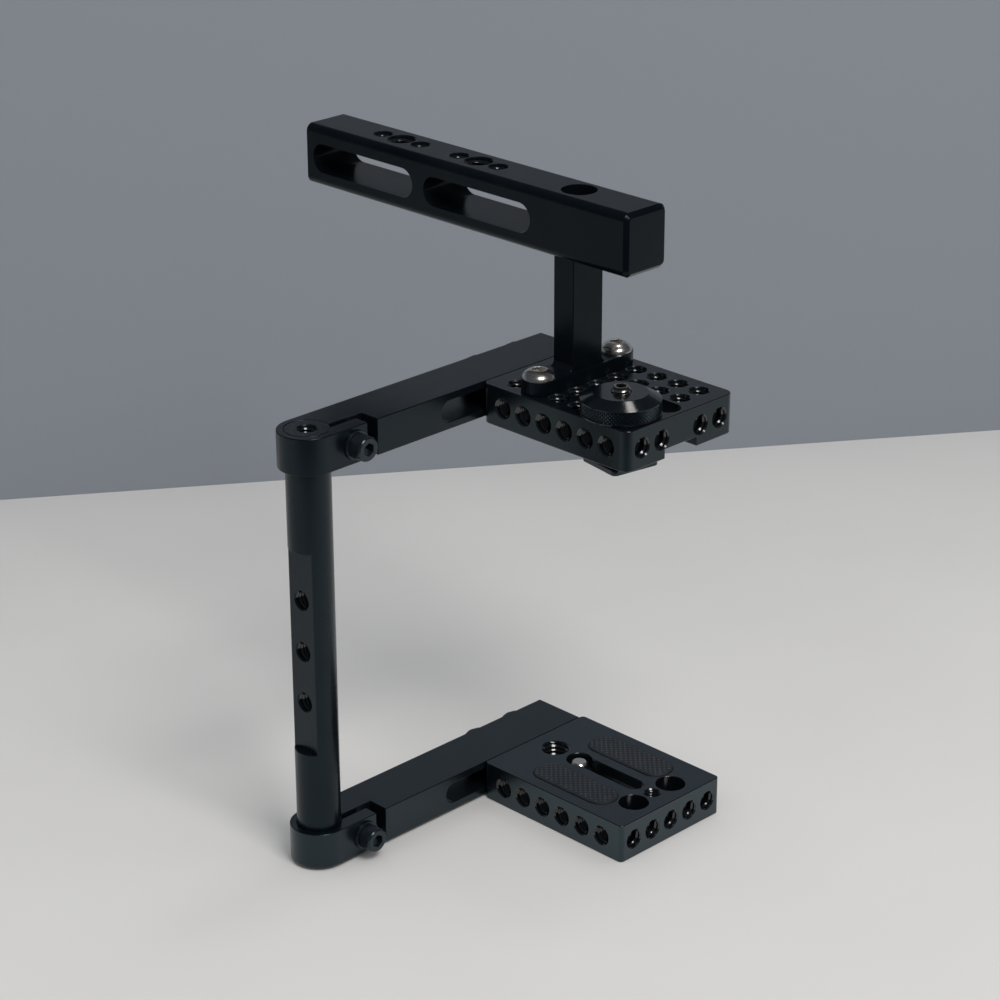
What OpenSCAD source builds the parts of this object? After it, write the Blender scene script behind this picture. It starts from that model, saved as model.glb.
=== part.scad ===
// Camera cage: a base plate and a top plate on two slotted arms, joined by a round
// side rod, with a top handle and a shoe adapter. Millimetres, +Z up.
// The origin is on the rod's axis, at the surface that the cage stands on. +X runs
// along the arms towards the plates, and +Y towards the handle's far end.

/* [Side rod] */
// Diameter of the side rod
rod_d = 15; // [13:0.5:16]
// Length of the side rod, which is also the height of the top plate's upper face
rod_len = 157; // [140:1:220]
// Depth of the flat on the rod's outer side
rod_flat_depth = 2.8; // [1:0.1:4]
// Length of the flat
rod_flat_len = 73; // [60:1:85]
// Height of the flat's middle
rod_flat_mid = 79.2; // [70:0.1:90]
// Distance between the three holes in the flat
rod_hole_pitch = 18.6; // [12:0.1:24]
// Depth of the threaded hole in each end of the rod
rod_end_hole_depth = 16; // [10:0.5:20]

/* [Arms] */
// Width of an arm, and the outer diameter of its clamp ring
arm_w = 20; // [19:0.1:24]
// Height of an arm
arm_h = 12.7; // [11:0.1:13.5]
// Length of an arm from the rod's axis to its end
arm_len = 117; // [114:0.5:135]
// Height of the slot along an arm
arm_slot_h = 7.4; // [6.8:0.1:8]
// Distance from the rod's axis to the slot's inner end
arm_slot_start = 50.1; // [40:0.1:60]
// Wall between the slot's outer end and the arm's end
arm_slot_wall = 9.9; // [7:0.1:9.9]

/* [Clamps] */
// Width of the slit that lets the ring close
slit_w = 2.4; // [1:0.1:3]
// Distance from the rod's axis to the slit's middle
slit_offset = 3.4; // [2.5:0.1:4.5]
// Distance from the rod's axis to the end of the clamp's ear
ear_reach = 17.1; // [17:0.1:19]
// Gap between the ear's end and the arm's shoulder
ear_gap = 4.3; // [2:0.1:6]
// Distance from the rod's axis to the clamp screw's axis
clamp_screw_reach = 12; // [11.8:0.1:12.1]
// Thread diameter of a clamp screw
clamp_screw_d = 5; // [4:0.1:5.2]
// Length of a clamp screw under its head
clamp_screw_len = 16; // [12:0.5:18]

/* [Base plate] */
// Length of the base plate along the arms
base_x = 50; // [48:0.5:60]
// Distance from the rod's axis to the base plate's middle
base_reach = 93.8; // [93:0.1:94]
// Thickness of the base plate
base_t = 14; // [13.6:0.1:18]
// Corner radius of the base plate
base_corner_r = 1.6; // [1:0.1:3]
// Shift of the side holes' rows towards the base plate's free end
base_row_shift = -0.1; // [-1:0.1:1]
// Width of the camera screw's slot
cam_slot_w = 6.7; // [6.5:0.1:8]
// Diameter of the slot's round wide end
cam_slot_eye_d = 9.2; // [8.5:0.1:10]
// Distance from the plate's arm side to the middle of the wide end
cam_slot_start = 22.1; // [21.5:0.1:24]
// Travel of the camera screw along its slot
cam_slot_travel = 26.1; // [20:0.1:27]
// Thickness of the web that the slot passes through
cam_web_t = 4.3; // [3.8:0.1:5]
// Width of the channel under the web
cam_channel_w = 13.2; // [12.9:0.1:13.4]

/* [Pads] */
// Width of a rubber pad
pad_w = 12; // [10:0.1:13]
// Length of a rubber pad
pad_len = 35.8; // [28:0.1:36]
// Height of a pad above the plate
pad_rise = 0.6; // [0.3:0.1:1.5]
// Depth of a pad's recess
pad_recess = 1; // [0.5:0.1:2]
// Distance from the plate's middle line to a pad's middle line
pad_offset = 14; // [12.5:0.1:15]
// Distance from the plate's arm side to the pads' middle
pad_mid = 33.6; // [31:0.1:36]

/* [Top plate] */
// Length of the top plate along the arms
top_x = 52; // [50:0.5:60]
// Distance from the rod's axis to the top plate's middle
top_reach = 94.5; // [94:0.1:94.6]
// Thickness of the top plate
top_t = 14; // [13:0.1:18]
// Corner radius of the top plate
top_corner_r = 3.2; // [2:0.1:4]
// Shift of the hole rows towards the top plate's free end
top_row_shift = 0.3; // [-1:0.1:1]
// Width of the slot through the top plate
top_slot_w = 8.7; // [7:0.1:9]
// Length of the slot from end to end
top_slot_len = 29; // [20:0.5:30]
// Wall between the slot and the plate's free end
top_slot_wall = 1.8; // [1.2:0.1:4]
// Width of the channel under the slot
top_channel_w = 15.3; // [12:0.1:15.6]
// Depth of the channel under the slot
top_channel_depth = 3.2; // [2:0.1:3.4]

/* [Plates and holes] */
// Depth of both plates, from the arm's face to the free end
plate_y = 65.7; // [65:0.1:68]
// Distance between neighbouring threaded holes
pitch = 9.36; // [9:0.01:9.5]
// Thread diameter of the small threaded holes
small_thread_d = 6.35; // [6:0.05:6.4]
// Thread diameter of the large threaded holes
large_thread_d = 9.53; // [9:0.01:10]
// Depth of the threaded holes in the plates' inner and outer sides
side_hole_depth = 8; // [6:0.1:8.4]
// Depth of the threaded holes in the plates' free ends
end_hole_depth = 3.9; // [3:0.1:3.9]
// Width of the lead-in chamfer round a threaded hole
lead_in = 0.45; // [0.2:0.05:0.6]
// Diameter of the two counterbores in the base plate
bore_d = 10.4; // [8:0.1:10.8]
// Depth of those counterbores
bore_depth = 8; // [5:0.1:9]
// Diameter of the screw holes under them
bore_through_d = 5.5; // [4:0.1:7]
// Distance from the base plate's free end to the counterbores' middles
bore_row_inset = 8.9; // [8:0.1:9]
// Diameter of the small threaded hole between them
mid_thread_d = 5.3; // [4:0.1:6.2]
// Depth of that hole
mid_hole_depth = 6; // [4:0.1:8]
// Depth of the large threaded hole
large_hole_depth = 8; // [6:0.1:9]
// Distance from the base plate's arm side to the large hole's middle
large_hole_inset = 10.3; // [10:0.1:11]

/* [Slide screws] */
// Thread diameter of the screws that hold the plates to the arms
slide_screw_d = 6; // [5:0.1:6.2]
// Diameter of their heads
slide_head_d = 10; // [9:0.1:10]
// Height of their low heads
slide_head_h = 2.4; // [1.8:0.1:3]
// Distance between the two slide screws of a plate, in hole pitches
slide_screw_pitches = 2; // [1.6:0.1:2]
// Depth that a slide screw reaches into its plate
slide_screw_bite = 9; // [6:0.1:11]
// Thickness of the washers
washer_t = 1; // [0.6:0.1:1.6]

/* [Handle] */
// Width of the handle bar
handle_w = 19.6; // [17:0.1:24]
// Length of the handle bar
handle_len = 154.3; // [150:0.1:170]
// Height of the handle bar
handle_h = 21.6; // [20:0.1:26]
// Height of the gap between the top plate and the handle bar
handle_lift = 43.3; // [35:0.1:60]
// Radius of the bar's long edges
handle_edge_r = 2.8; // [1:0.1:5]
// Chamfer round the bar's end faces
handle_chamfer = 1.4; // [0.5:0.1:2.5]
// Distance from the post's axis to the bar's near end
handle_overhang = 30.1; // [28:0.1:34]
// Length of one of the two slots in the bar
handle_slot_len = 50.8; // [44:0.1:51]
// Height of those slots
handle_slot_h = 10.4; // [7:0.1:11]
// Distance of the slots' middle below the bar's middle
handle_slot_drop = 0.45; // [0:0.05:1]
// Web between the two slots
handle_slot_web = 5.4; // [4:0.1:8]
// Wall between the outer slot and the bar's far end
handle_end_wall = 4.4; // [4:0.1:6]
// Distance from the post's axis to the nearer group of top holes
handle_group_near = 46.6; // [44:0.1:50]
// Distance from the post's axis to the farther group of top holes
handle_group_far = 84.4; // [80:0.1:88]
// Diameter of the well for the handle's bolt
well_d = 12; // [11:0.1:13]
// Depth of that well
well_depth = 15; // [12:0.1:16]

/* [Handle post] */
// Width of the post along the arms
post_w = 14; // [11:0.1:18]
// Thickness of the post
post_t = 9; // [8:0.1:11]
// Width of the post's foot
foot_w = 11.6; // [11:0.1:14]
// Height of the post's foot
foot_h = 4.8; // [3:0.1:8]
// Radius of the fillet between the post and its foot
post_fillet = 2.2; // [1:0.1:4]

/* [Shoe adapter] */
// Diameter of the knurled knob
knob_d = 26.8; // [20:0.1:27]
// Height of the knob's straight rim
knob_rim_h = 5.1; // [3:0.1:8]
// Height of the knob
knob_h = 7.3; // [6.5:0.1:12]
// Diameter of the knob's flat top
knob_top_d = 18.2; // [14:0.1:20]
// Length of the stud above the knob
stud_over = 2; // [1:0.1:3]
// Width of the shoe foot across the rails
shoe_w = 18.5; // [18:0.1:18.7]
// Length of the shoe foot along the rails
shoe_len = 18; // [16:0.1:19]
// Thickness of the shoe foot's flange
shoe_t = 1.9; // [1.5:0.1:2.2]
// Width of the neck between the rails
shoe_neck_w = 12.4; // [11:0.1:12.6]
// Height of the neck
shoe_neck_h = 1.4; // [1:0.1:2]
// Angle that the loose shoe foot is turned by
shoe_turn = -10; // [-45:1:45]

/* [Hidden] */
$fn = 48;

// Colours
anodised = [0.10, 0.11, 0.13];
dark_steel = [0.14, 0.14, 0.15];
bright_steel = [0.72, 0.72, 0.73];
rubber_black = [0.06, 0.06, 0.07];

// Clearances and overruns
overrun = 1;
turn_fit = 0.05;
slide_gap = 0.1;
loose_fit = 0.3;
pad_fit = 0.1;
drill_point_share = 0.3;

// Screws
screw_head_share = 1.7;
head_edge_share = 0.0625;
socket_share = 0.8;
socket_depth_share = 0.5;
hole_floor_gap = 2;
washer_share = 2;
button_head_d = 11.1;
button_head_h = 3.35;
button_socket_d = 4.6;
button_socket_depth = 2;
button_bite = 8;
small_screw_d = small_thread_d - 2 * turn_fit;

// Heights
arm_lower_z = base_t - arm_h;
arm_upper_z = rod_len - arm_h;
top_z = rod_len - top_t;
arm_mid_h = arm_h / 2;
handle_z = rod_len + handle_lift;
handle_top_z = handle_z + handle_h;

// Plates
plate_arm_y = -arm_w / 2 - slide_gap;
plate_free_y = plate_arm_y - plate_y;
plate_mid_y = plate_arm_y - plate_y / 2;
rows = 6;
row_first = -(rows - 1) / 2 * pitch;
cross_thread_d = small_thread_d + loose_fit;
slide_screw_span = slide_screw_pitches * pitch;
slide_hole_depth = slide_screw_bite + hole_floor_gap;
slide_head_y = arm_w / 2 + slide_gap + washer_t;
slide_screw_len = slide_head_y - plate_arm_y + slide_screw_bite;

// Camera screw
cam_x = base_reach;
cam_y = plate_arm_y - cam_slot_start;
cam_web_z = base_t - cam_web_t;
cam_groove_h = 1;
cam_groove_depth = 0.7;
retainer_t = cam_groove_h - 2 * slide_gap;
retainer_z = cam_web_z - cam_groove_h + slide_gap;
retainer_w = cam_channel_w + 2 * cam_groove_depth - 2 * loose_fit;
retainer_len = 6;
cam_head_d = 12;
cam_head_h = 2.6;
cam_head_z = 0.5;
cam_head_slot_w = 1.8;
cam_head_slot_depth = 1.2;
cam_neck_d = 4.6;
cam_tip_sink = 0.8;
cam_tip_z = base_t - cam_tip_sink;
cam_tip_chamfer = 0.7;
cam_screw_d = 6.1;
cam_groove_len = cam_slot_travel + retainer_len + 2 * loose_fit;

// Base plate's top holes
bolt_row_y = plate_free_y + bore_row_inset;
large_hole_y = plate_arm_y - large_hole_inset;

// Top plate
post_row = 4;
post_y = plate_mid_y + row_first + post_row * pitch - top_row_shift;
top_slot_y = plate_free_y + top_slot_wall + top_slot_w / 2;
top_slot_run = top_slot_len - top_slot_w;
top_channel_len = top_slot_wall + top_slot_len;

// Columns of the top holes in each row, counted in pitches from the middle
top_columns = [
    [1, 2],
    [1, 2],
    [-2, -1, 1, 2],
    [-2, -1, 0, 1, 2],
    [-2, 2],
    [-2, 2]
];

// Shoe adapter, which sits in the middle of four missing holes
knob_x = top_reach - 1.5 * pitch;
knob_y = plate_mid_y + row_first + 0.5 * pitch - top_row_shift;
knob_hole_d = small_thread_d + loose_fit;
knob_z = rod_len + slide_gap;
knob_chamfer = 0.5;
shoe_top_z = top_z - slide_gap;
shoe_z = shoe_top_z - shoe_neck_h - shoe_t;
shoe_corner_r = 1.8;
stud_base_sink = 0.3;
stud_z = shoe_z + stud_base_sink;
stud_top_z = knob_z + knob_h + stud_over;
stud_chamfer = 0.5;
stud_socket_d = 3.7;
stud_socket_depth = 3;

// Handle
foot_screw_pitches = 2;
post_x = top_reach;
handle_near_y = post_y - handle_overhang;
handle_far_y = handle_near_y + handle_len;
handle_slot_z = handle_z + handle_h / 2 - handle_slot_drop;
handle_slot_far_y = handle_far_y - handle_end_wall - handle_slot_len / 2;
handle_slot_near_y = handle_slot_far_y - handle_slot_len - handle_slot_web;
handle_bolt_d = 6;
handle_bolt_head_d = 10;
handle_bolt_head_h = 6;
handle_bolt_bite = 12;
handle_bolt_z = handle_top_z - well_depth;

// A tapped hole whose mouth is at the origin and which runs down
module tapped_hole(d, depth) {
    rotate_extrude()
        polygon([
            [0, overrun],
            [d / 2 + lead_in, overrun],
            [d / 2 + lead_in, 0],
            [d / 2, -lead_in],
            [d / 2, -depth],
            [0, -depth - d * drill_point_share]
        ]);
}

// A tapped hole right through a wall that is t thick, with a lead-in at both faces
module tapped_through(d, t) {
    rotate_extrude()
        polygon([
            [0, overrun],
            [d / 2 + lead_in, overrun],
            [d / 2 + lead_in, 0],
            [d / 2, -lead_in],
            [d / 2, lead_in - t],
            [d / 2 + lead_in, -t],
            [d / 2 + lead_in, -t - overrun],
            [0, -t - overrun]
        ]);
}

// A block with rounded upright corners, from the origin's corner
module rounded_block(x, y, z, r) {
    for (cx = [r, x - r], cy = [r, y - r])
        translate([cx, cy, 0])
            cylinder(r = r, h = z);
    translate([r, 0, 0])
        cube([x - 2 * r, y, z]);
    translate([0, r, 0])
        cube([x, y - 2 * r, z]);
}

// A slot w wide that runs from the origin along +X, upright, from z = 0 up to h
module slot_along_x(run, w, h) {
    cylinder(d = w, h = h);
    translate([run, 0, 0])
        cylinder(d = w, h = h);
    translate([0, -w / 2, 0])
        cube([run, w, h]);
}

// A slot w wide that runs from the origin along -Y
module slot_towards_free_end(run, w, h) {
    rotate([0, 0, -90])
        slot_along_x(run, w, h);
}

// A washer of inner diameter d on the plane z = 0
module washer(d) {
    difference() {
        cylinder(d = washer_share * d, h = washer_t);
        translate([0, 0, -overrun])
            cylinder(d = d + loose_fit, h = washer_t + 2 * overrun);
    }
}

// A cap screw with a hex socket: the head stands on z = 0 and the shank hangs down
module cap_screw(d, shank, head_d, head_h) {
    edge = head_edge_share * head_d;
    difference() {
        union() {
            rotate_extrude()
                polygon([
                    [0, 0],
                    [head_d / 2, 0],
                    [head_d / 2, head_h - edge],
                    [head_d / 2 - edge, head_h],
                    [0, head_h]
                ]);
            translate([0, 0, -shank])
                cylinder(d = d, h = shank + edge);
        }
        translate([0, 0, head_h * (1 - socket_depth_share)])
            cylinder(d = socket_share * d / cos(30), h = head_h, $fn = 6);
    }
}

// One row of tapped holes in the side of a plate, along -Y from the first
module side_row(row_y, t, depth) {
    for (i = [0 : rows - 1])
        translate([0, row_y + i * pitch, t / 2])
            rotate([0, -90, 0])
                tapped_hole(small_thread_d, depth);
}

// The two tapped holes that take a plate's slide screws, in its face on the arm
module slide_screw_holes(reach, z) {
    for (side = [-1, 1])
        translate([reach + side * slide_screw_span / 2, plate_arm_y, z])
            rotate([90, 0, 0])
                translate([0, 0, -overrun])
                    cylinder(d = slide_screw_d + 2 * turn_fit, h = slide_hole_depth + overrun);
}

module base_plate() {
    left = base_reach - base_x / 2;
    row_y = plate_mid_y + row_first - base_row_shift;
    color(anodised)
        difference() {
            translate([left, plate_free_y, 0])
                rounded_block(base_x, plate_y, base_t, base_corner_r);
            translate([left, 0, 0])
                side_row(row_y, base_t, side_hole_depth);
            translate([left + base_x, 0, 0])
                mirror([1, 0, 0])
                    side_row(row_y, base_t, side_hole_depth);
            for (i = [-2 : 2])
                translate([base_reach + i * pitch, plate_free_y, base_t / 2])
                    rotate([90, 0, 0])
                        tapped_hole(small_thread_d, end_hole_depth);
            slide_screw_holes(base_reach, arm_lower_z + arm_mid_h);
            base_top_holes();
            camera_screw_slot();
            for (side = [-1, 1])
                translate([base_reach + side * pad_offset, 0, base_t - pad_recess])
                    pad_shape(pad_recess + overrun, pad_fit);
        }
}

// The holes in the base plate's upper face
module base_top_holes() {
    translate([base_reach, large_hole_y, base_t])
        tapped_hole(large_thread_d, large_hole_depth);
    translate([base_reach, bolt_row_y, base_t])
        tapped_hole(mid_thread_d, mid_hole_depth);
    for (side = [-1, 1])
        translate([base_reach + side * pitch, bolt_row_y, 0]) {
            translate([0, 0, base_t - bore_depth])
                cylinder(d = bore_d, h = bore_depth + overrun);
            translate([0, 0, -overrun])
                cylinder(d = bore_through_d, h = base_t + overrun);
        }
}

// The slot for the camera screw, its wide end, and the channel and grooves under it
module camera_screw_slot() {
    groove_w = cam_channel_w + 2 * cam_groove_depth;
    translate([cam_x, cam_y, cam_web_z - overrun]) {
        slot_towards_free_end(cam_slot_travel, cam_slot_w, cam_web_t + 2 * overrun);
        cylinder(d = cam_slot_eye_d, h = cam_web_t + 2 * overrun);
    }
    translate([cam_x, cam_y, -overrun])
        slot_towards_free_end(cam_slot_travel, cam_channel_w, cam_web_z + overrun);
    translate([cam_x - groove_w / 2, cam_y + retainer_len / 2 + loose_fit - cam_groove_len, cam_web_z - cam_groove_h])
        cube([groove_w, cam_groove_len, cam_groove_h]);
}

// The outline of a pad, h high, grown by extra all round
module pad_shape(h, extra) {
    run = pad_len - pad_w;
    translate([0, plate_arm_y - pad_mid + run / 2, 0])
        slot_towards_free_end(run, pad_w + 2 * extra, h);
}

module base_pad(side) {
    color(rubber_black)
        translate([base_reach + side * pad_offset, 0, base_t - pad_recess])
            pad_shape(pad_recess + pad_rise, 0);
}

module base_pad_left() {
    base_pad(-1);
}

module base_pad_right() {
    base_pad(1);
}

module camera_screw() {
    neck_top = retainer_z + retainer_t + turn_fit;
    color(bright_steel)
        translate([cam_x, cam_y, 0])
            difference() {
                rotate_extrude()
                    polygon([
                        [0, cam_head_z],
                        [cam_head_d / 2, cam_head_z],
                        [cam_head_d / 2, cam_head_z + cam_head_h],
                        [cam_neck_d / 2, cam_head_z + cam_head_h],
                        [cam_neck_d / 2, neck_top],
                        [cam_screw_d / 2, neck_top],
                        [cam_screw_d / 2, cam_tip_z - cam_tip_chamfer],
                        [cam_screw_d / 2 - cam_tip_chamfer, cam_tip_z],
                        [0, cam_tip_z]
                    ]);
                translate([-cam_head_d / 2 - overrun, -cam_head_slot_w / 2, cam_head_z - overrun])
                    cube([cam_head_d + 2 * overrun, cam_head_slot_w, cam_head_slot_depth + overrun]);
            }
}

module camera_screw_retainer() {
    color(dark_steel)
        translate([cam_x, cam_y, retainer_z])
            difference() {
                translate([-retainer_w / 2, -retainer_len / 2, 0])
                    cube([retainer_w, retainer_len, retainer_t]);
                translate([0, 0, -overrun])
                    cylinder(d = cam_neck_d + loose_fit, h = retainer_t + 2 * overrun);
            }
}

module slide_screw(reach, z, side) {
    color(dark_steel)
        translate([reach + side * slide_screw_span / 2, slide_head_y, z])
            rotate([-90, 0, 0])
                cap_screw(slide_screw_d, slide_screw_len, slide_head_d, slide_head_h);
}

module slide_washers(reach, z) {
    color(dark_steel)
        for (side = [-1, 1])
            translate([reach + side * slide_screw_span / 2, slide_head_y - washer_t, z])
                rotate([-90, 0, 0])
                    washer(slide_screw_d);
}

module lower_slide_screw_inner() {
    slide_screw(base_reach, arm_lower_z + arm_mid_h, -1);
}

module lower_slide_screw_outer() {
    slide_screw(base_reach, arm_lower_z + arm_mid_h, 1);
}

module lower_slide_washers() {
    slide_washers(base_reach, arm_lower_z + arm_mid_h);
}

module upper_slide_screw_inner() {
    slide_screw(top_reach, arm_upper_z + arm_mid_h, -1);
}

module upper_slide_screw_outer() {
    slide_screw(top_reach, arm_upper_z + arm_mid_h, 1);
}

module upper_slide_washers() {
    slide_washers(top_reach, arm_upper_z + arm_mid_h);
}

// An arm with its clamp ring round the rod's axis, standing on z = 0
module arm() {
    slot_run = arm_len - arm_slot_wall - arm_slot_start - arm_slot_h;
    slit_y = -slit_offset - slit_w / 2;
    color(anodised)
        difference() {
            union() {
                cylinder(d = arm_w, h = arm_h);
                translate([0, -arm_w / 2, 0])
                    cube([arm_len, arm_w, arm_h]);
            }
            translate([0, 0, -overrun])
                cylinder(r = rod_d / 2 + turn_fit, h = arm_h + 2 * overrun);
            translate([0, slit_y, -overrun])
                cube([ear_reach + ear_gap, slit_w, arm_h + 2 * overrun]);
            translate([ear_reach, -arm_w / 2 - overrun, -overrun])
                cube([ear_gap, arm_w / 2 + overrun + slit_y + slit_w, arm_h + 2 * overrun]);
            translate([clamp_screw_reach, -arm_w / 2 - overrun, arm_mid_h])
                rotate([-90, 0, 0]) {
                    cylinder(d = clamp_screw_d + 2 * loose_fit, h = overrun + arm_w / 2 + slit_y);
                    cylinder(d = clamp_screw_d + 2 * turn_fit, h = overrun + clamp_screw_len + hole_floor_gap);
                }
            translate([arm_slot_start + arm_slot_h / 2, arm_w / 2 + overrun, arm_mid_h])
                rotate([90, 0, 0])
                    slot_along_x(slot_run, arm_slot_h, arm_w + 2 * overrun);
        }
}

module lower_arm() {
    translate([0, 0, arm_lower_z])
        arm();
}

module upper_arm() {
    translate([0, 0, arm_upper_z])
        arm();
}

module clamp_screw(z) {
    color(dark_steel)
        translate([clamp_screw_reach, -arm_w / 2 - washer_t - slide_gap, z + arm_mid_h])
            rotate([90, 0, 0])
                cap_screw(clamp_screw_d, clamp_screw_len, screw_head_share * clamp_screw_d, clamp_screw_d);
}

module clamp_washer(z) {
    color(dark_steel)
        translate([clamp_screw_reach, -arm_w / 2, z + arm_mid_h])
            rotate([90, 0, 0])
                washer(clamp_screw_d);
}

module lower_clamp_screw() {
    clamp_screw(arm_lower_z);
}

module lower_clamp_washer() {
    clamp_washer(arm_lower_z);
}

module upper_clamp_screw() {
    clamp_screw(arm_upper_z);
}

module upper_clamp_washer() {
    clamp_washer(arm_upper_z);
}

module side_rod() {
    flat_x = -rod_d / 2 + rod_flat_depth;
    color(anodised)
        difference() {
            cylinder(d = rod_d, h = rod_len);
            translate([flat_x - rod_d, -rod_d, rod_flat_mid - rod_flat_len / 2])
                cube([rod_d, 2 * rod_d, rod_flat_len]);
            for (i = [-1 : 1])
                translate([flat_x, 0, rod_flat_mid + i * rod_hole_pitch])
                    rotate([0, -90, 0])
                        tapped_hole(small_thread_d, rod_d - rod_flat_depth - small_thread_d / 2);
            translate([0, 0, rod_len])
                tapped_hole(small_thread_d, rod_end_hole_depth);
            translate([0, 0, -overrun])
                cylinder(d = small_thread_d, h = rod_end_hole_depth + overrun);
        }
}

module top_plate() {
    left = top_reach - top_x / 2;
    row_y = plate_mid_y + row_first - top_row_shift;
    color(anodised)
        translate([0, 0, top_z])
            difference() {
                translate([left, plate_free_y, 0])
                    rounded_block(top_x, plate_y, top_t, top_corner_r);
                translate([left, 0, 0])
                    side_row(row_y, top_t, side_hole_depth);
                translate([left + top_x, 0, 0])
                    mirror([1, 0, 0])
                        side_row(row_y, top_t, side_hole_depth);
                for (i = [-2, -1, 1, 2])
                    translate([top_reach + i * pitch, plate_free_y, top_t / 2])
                        rotate([90, 0, 0])
                            tapped_hole(small_thread_d, end_hole_depth);
                for (r = [0 : rows - 1], c = top_columns[r])
                    translate([top_reach + c * pitch, row_y + r * pitch, top_t])
                        tapped_through(cross_thread_d, top_t);
                translate([knob_x, knob_y, -overrun])
                    cylinder(d = knob_hole_d, h = top_t + 2 * overrun);
                translate([0, 0, -top_z])
                    slide_screw_holes(top_reach, arm_upper_z + arm_mid_h);
                translate([top_reach, top_slot_y + top_slot_run, -overrun])
                    slot_towards_free_end(top_slot_run, top_slot_w, top_t + 2 * overrun);
                translate([top_reach - top_channel_w / 2, plate_free_y - overrun, -overrun])
                    cube([top_channel_w, top_channel_len + overrun, top_channel_depth + overrun]);
            }
}

// The post: a long rounded foot on the top plate, and a flat pillar up to the handle
module handle_post() {
    foot_run = 2 * foot_screw_pitches * pitch;
    color(anodised)
        translate([post_x, post_y, rod_len])
            difference() {
                union() {
                    translate([-foot_run / 2, 0, 0])
                        slot_along_x(foot_run, foot_w, foot_h);
                    translate([-post_w / 2, -post_t / 2, 0])
                        cube([post_w, post_t, handle_lift]);
                    for (side = [0, 1])
                        mirror([side, 0, 0])
                            post_fillet_wedge();
                }
                for (side = [-1, 1])
                    translate([side * foot_run / 2, 0, -overrun])
                        cylinder(d = small_thread_d + loose_fit, h = foot_h + 2 * overrun);
                translate([0, 0, handle_lift - handle_bolt_bite - hole_floor_gap])
                    cylinder(d = handle_bolt_d + 2 * turn_fit, h = handle_bolt_bite + hole_floor_gap + overrun);
            }
}

// The fillet between the pillar's side and the foot's upper face
module post_fillet_wedge() {
    translate([post_w / 2, -post_t / 2, foot_h])
        difference() {
            cube([post_fillet, post_t, post_fillet]);
            translate([post_fillet, -overrun, post_fillet])
                rotate([-90, 0, 0])
                    cylinder(r = post_fillet, h = post_t + 2 * overrun);
        }
}

// The bar's outline: rounded along its length, chamfered round both end faces
module handle_blank() {
    hull() {
        for (x = [-1, 1], z = [-1, 1], end = [0, 1]) {
            translate([
                x * (handle_w / 2 - handle_edge_r),
                handle_chamfer,
                handle_h / 2 + z * (handle_h / 2 - handle_edge_r)
            ])
                rotate([-90, 0, 0])
                    cylinder(r = handle_edge_r, h = handle_len - 2 * handle_chamfer, $fn = 64);
            translate([
                x * (handle_w / 2 - handle_edge_r),
                0,
                handle_h / 2 + z * (handle_h / 2 - handle_edge_r)
            ])
                rotate([-90, 0, 0])
                    cylinder(r = handle_edge_r - handle_chamfer, h = handle_len, $fn = 64);
        }
    }
}

module handle_bar() {
    slot_run = handle_slot_len - handle_slot_h;
    color(anodised)
        difference() {
            translate([post_x, handle_near_y, handle_z])
                handle_blank();
            for (y = [handle_slot_near_y, handle_slot_far_y])
                translate([post_x - handle_w / 2 - overrun, y - slot_run / 2, handle_slot_z])
                    rotate([90, 0, 90])
                        slot_along_x(slot_run, handle_slot_h, handle_w + 2 * overrun);
            for (y = [handle_group_near, handle_group_far])
                translate([post_x, post_y + y, handle_top_z]) {
                    tapped_hole(large_thread_d, handle_h / 2);
                    for (side = [-1, 1])
                        translate([0, side * pitch, 0])
                            tapped_hole(small_thread_d, handle_h / 2);
                }
            translate([post_x, post_y, handle_bolt_z])
                cylinder(d = well_d, h = well_depth + overrun);
            translate([post_x, post_y, handle_z - overrun])
                cylinder(d = handle_bolt_d + loose_fit, h = handle_h);
        }
}

module handle_bolt() {
    shank = handle_bolt_z - handle_z + handle_bolt_bite;
    color(bright_steel)
        translate([post_x, post_y, handle_bolt_z])
            difference() {
                union() {
                    cylinder(d = handle_bolt_head_d, h = handle_bolt_head_h);
                    translate([0, 0, -shank])
                        cylinder(d = handle_bolt_d, h = shank + overrun);
                }
                translate([0, 0, handle_bolt_head_h / 2])
                    cylinder(d = handle_bolt_head_d / 2 / cos(30), h = handle_bolt_head_h, $fn = 6);
            }
}

// A button-head screw: the head stands on z = 0 and the shank hangs down
module button_screw() {
    dome_r = (button_head_d * button_head_d / 4 + button_head_h * button_head_h) / 2 / button_head_h;
    difference() {
        union() {
            intersection() {
                translate([0, 0, button_head_h - dome_r])
                    sphere(r = dome_r, $fn = 96);
                cylinder(d = button_head_d, h = button_head_h - lead_in);
            }
            translate([0, 0, -foot_h - button_bite])
                cylinder(d = small_screw_d, h = foot_h + button_bite + lead_in);
        }
        translate([0, 0, button_head_h - button_socket_depth])
            cylinder(d = button_socket_d, h = button_head_h, $fn = 6);
    }
}

module handle_foot_screws() {
    color(bright_steel)
        for (side = [-1, 1])
            translate([post_x + side * foot_screw_pitches * pitch, post_y, rod_len + foot_h])
                button_screw();
}

module shoe_foot() {
    color(dark_steel)
        translate([knob_x, knob_y, shoe_z])
            rotate([0, 0, shoe_turn])
                difference() {
                    union() {
                        translate([-shoe_w / 2, -shoe_len / 2, 0])
                            rounded_block(shoe_w, shoe_len, shoe_t, shoe_corner_r);
                        translate([-shoe_neck_w / 2, -shoe_len / 2 + shoe_corner_r, 0])
                            cube([shoe_neck_w, shoe_len - 2 * shoe_corner_r, shoe_t + shoe_neck_h]);
                    }
                    translate([0, 0, -overrun])
                        cylinder(d = small_thread_d, h = shoe_t + shoe_neck_h + 2 * overrun);
                }
}

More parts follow.
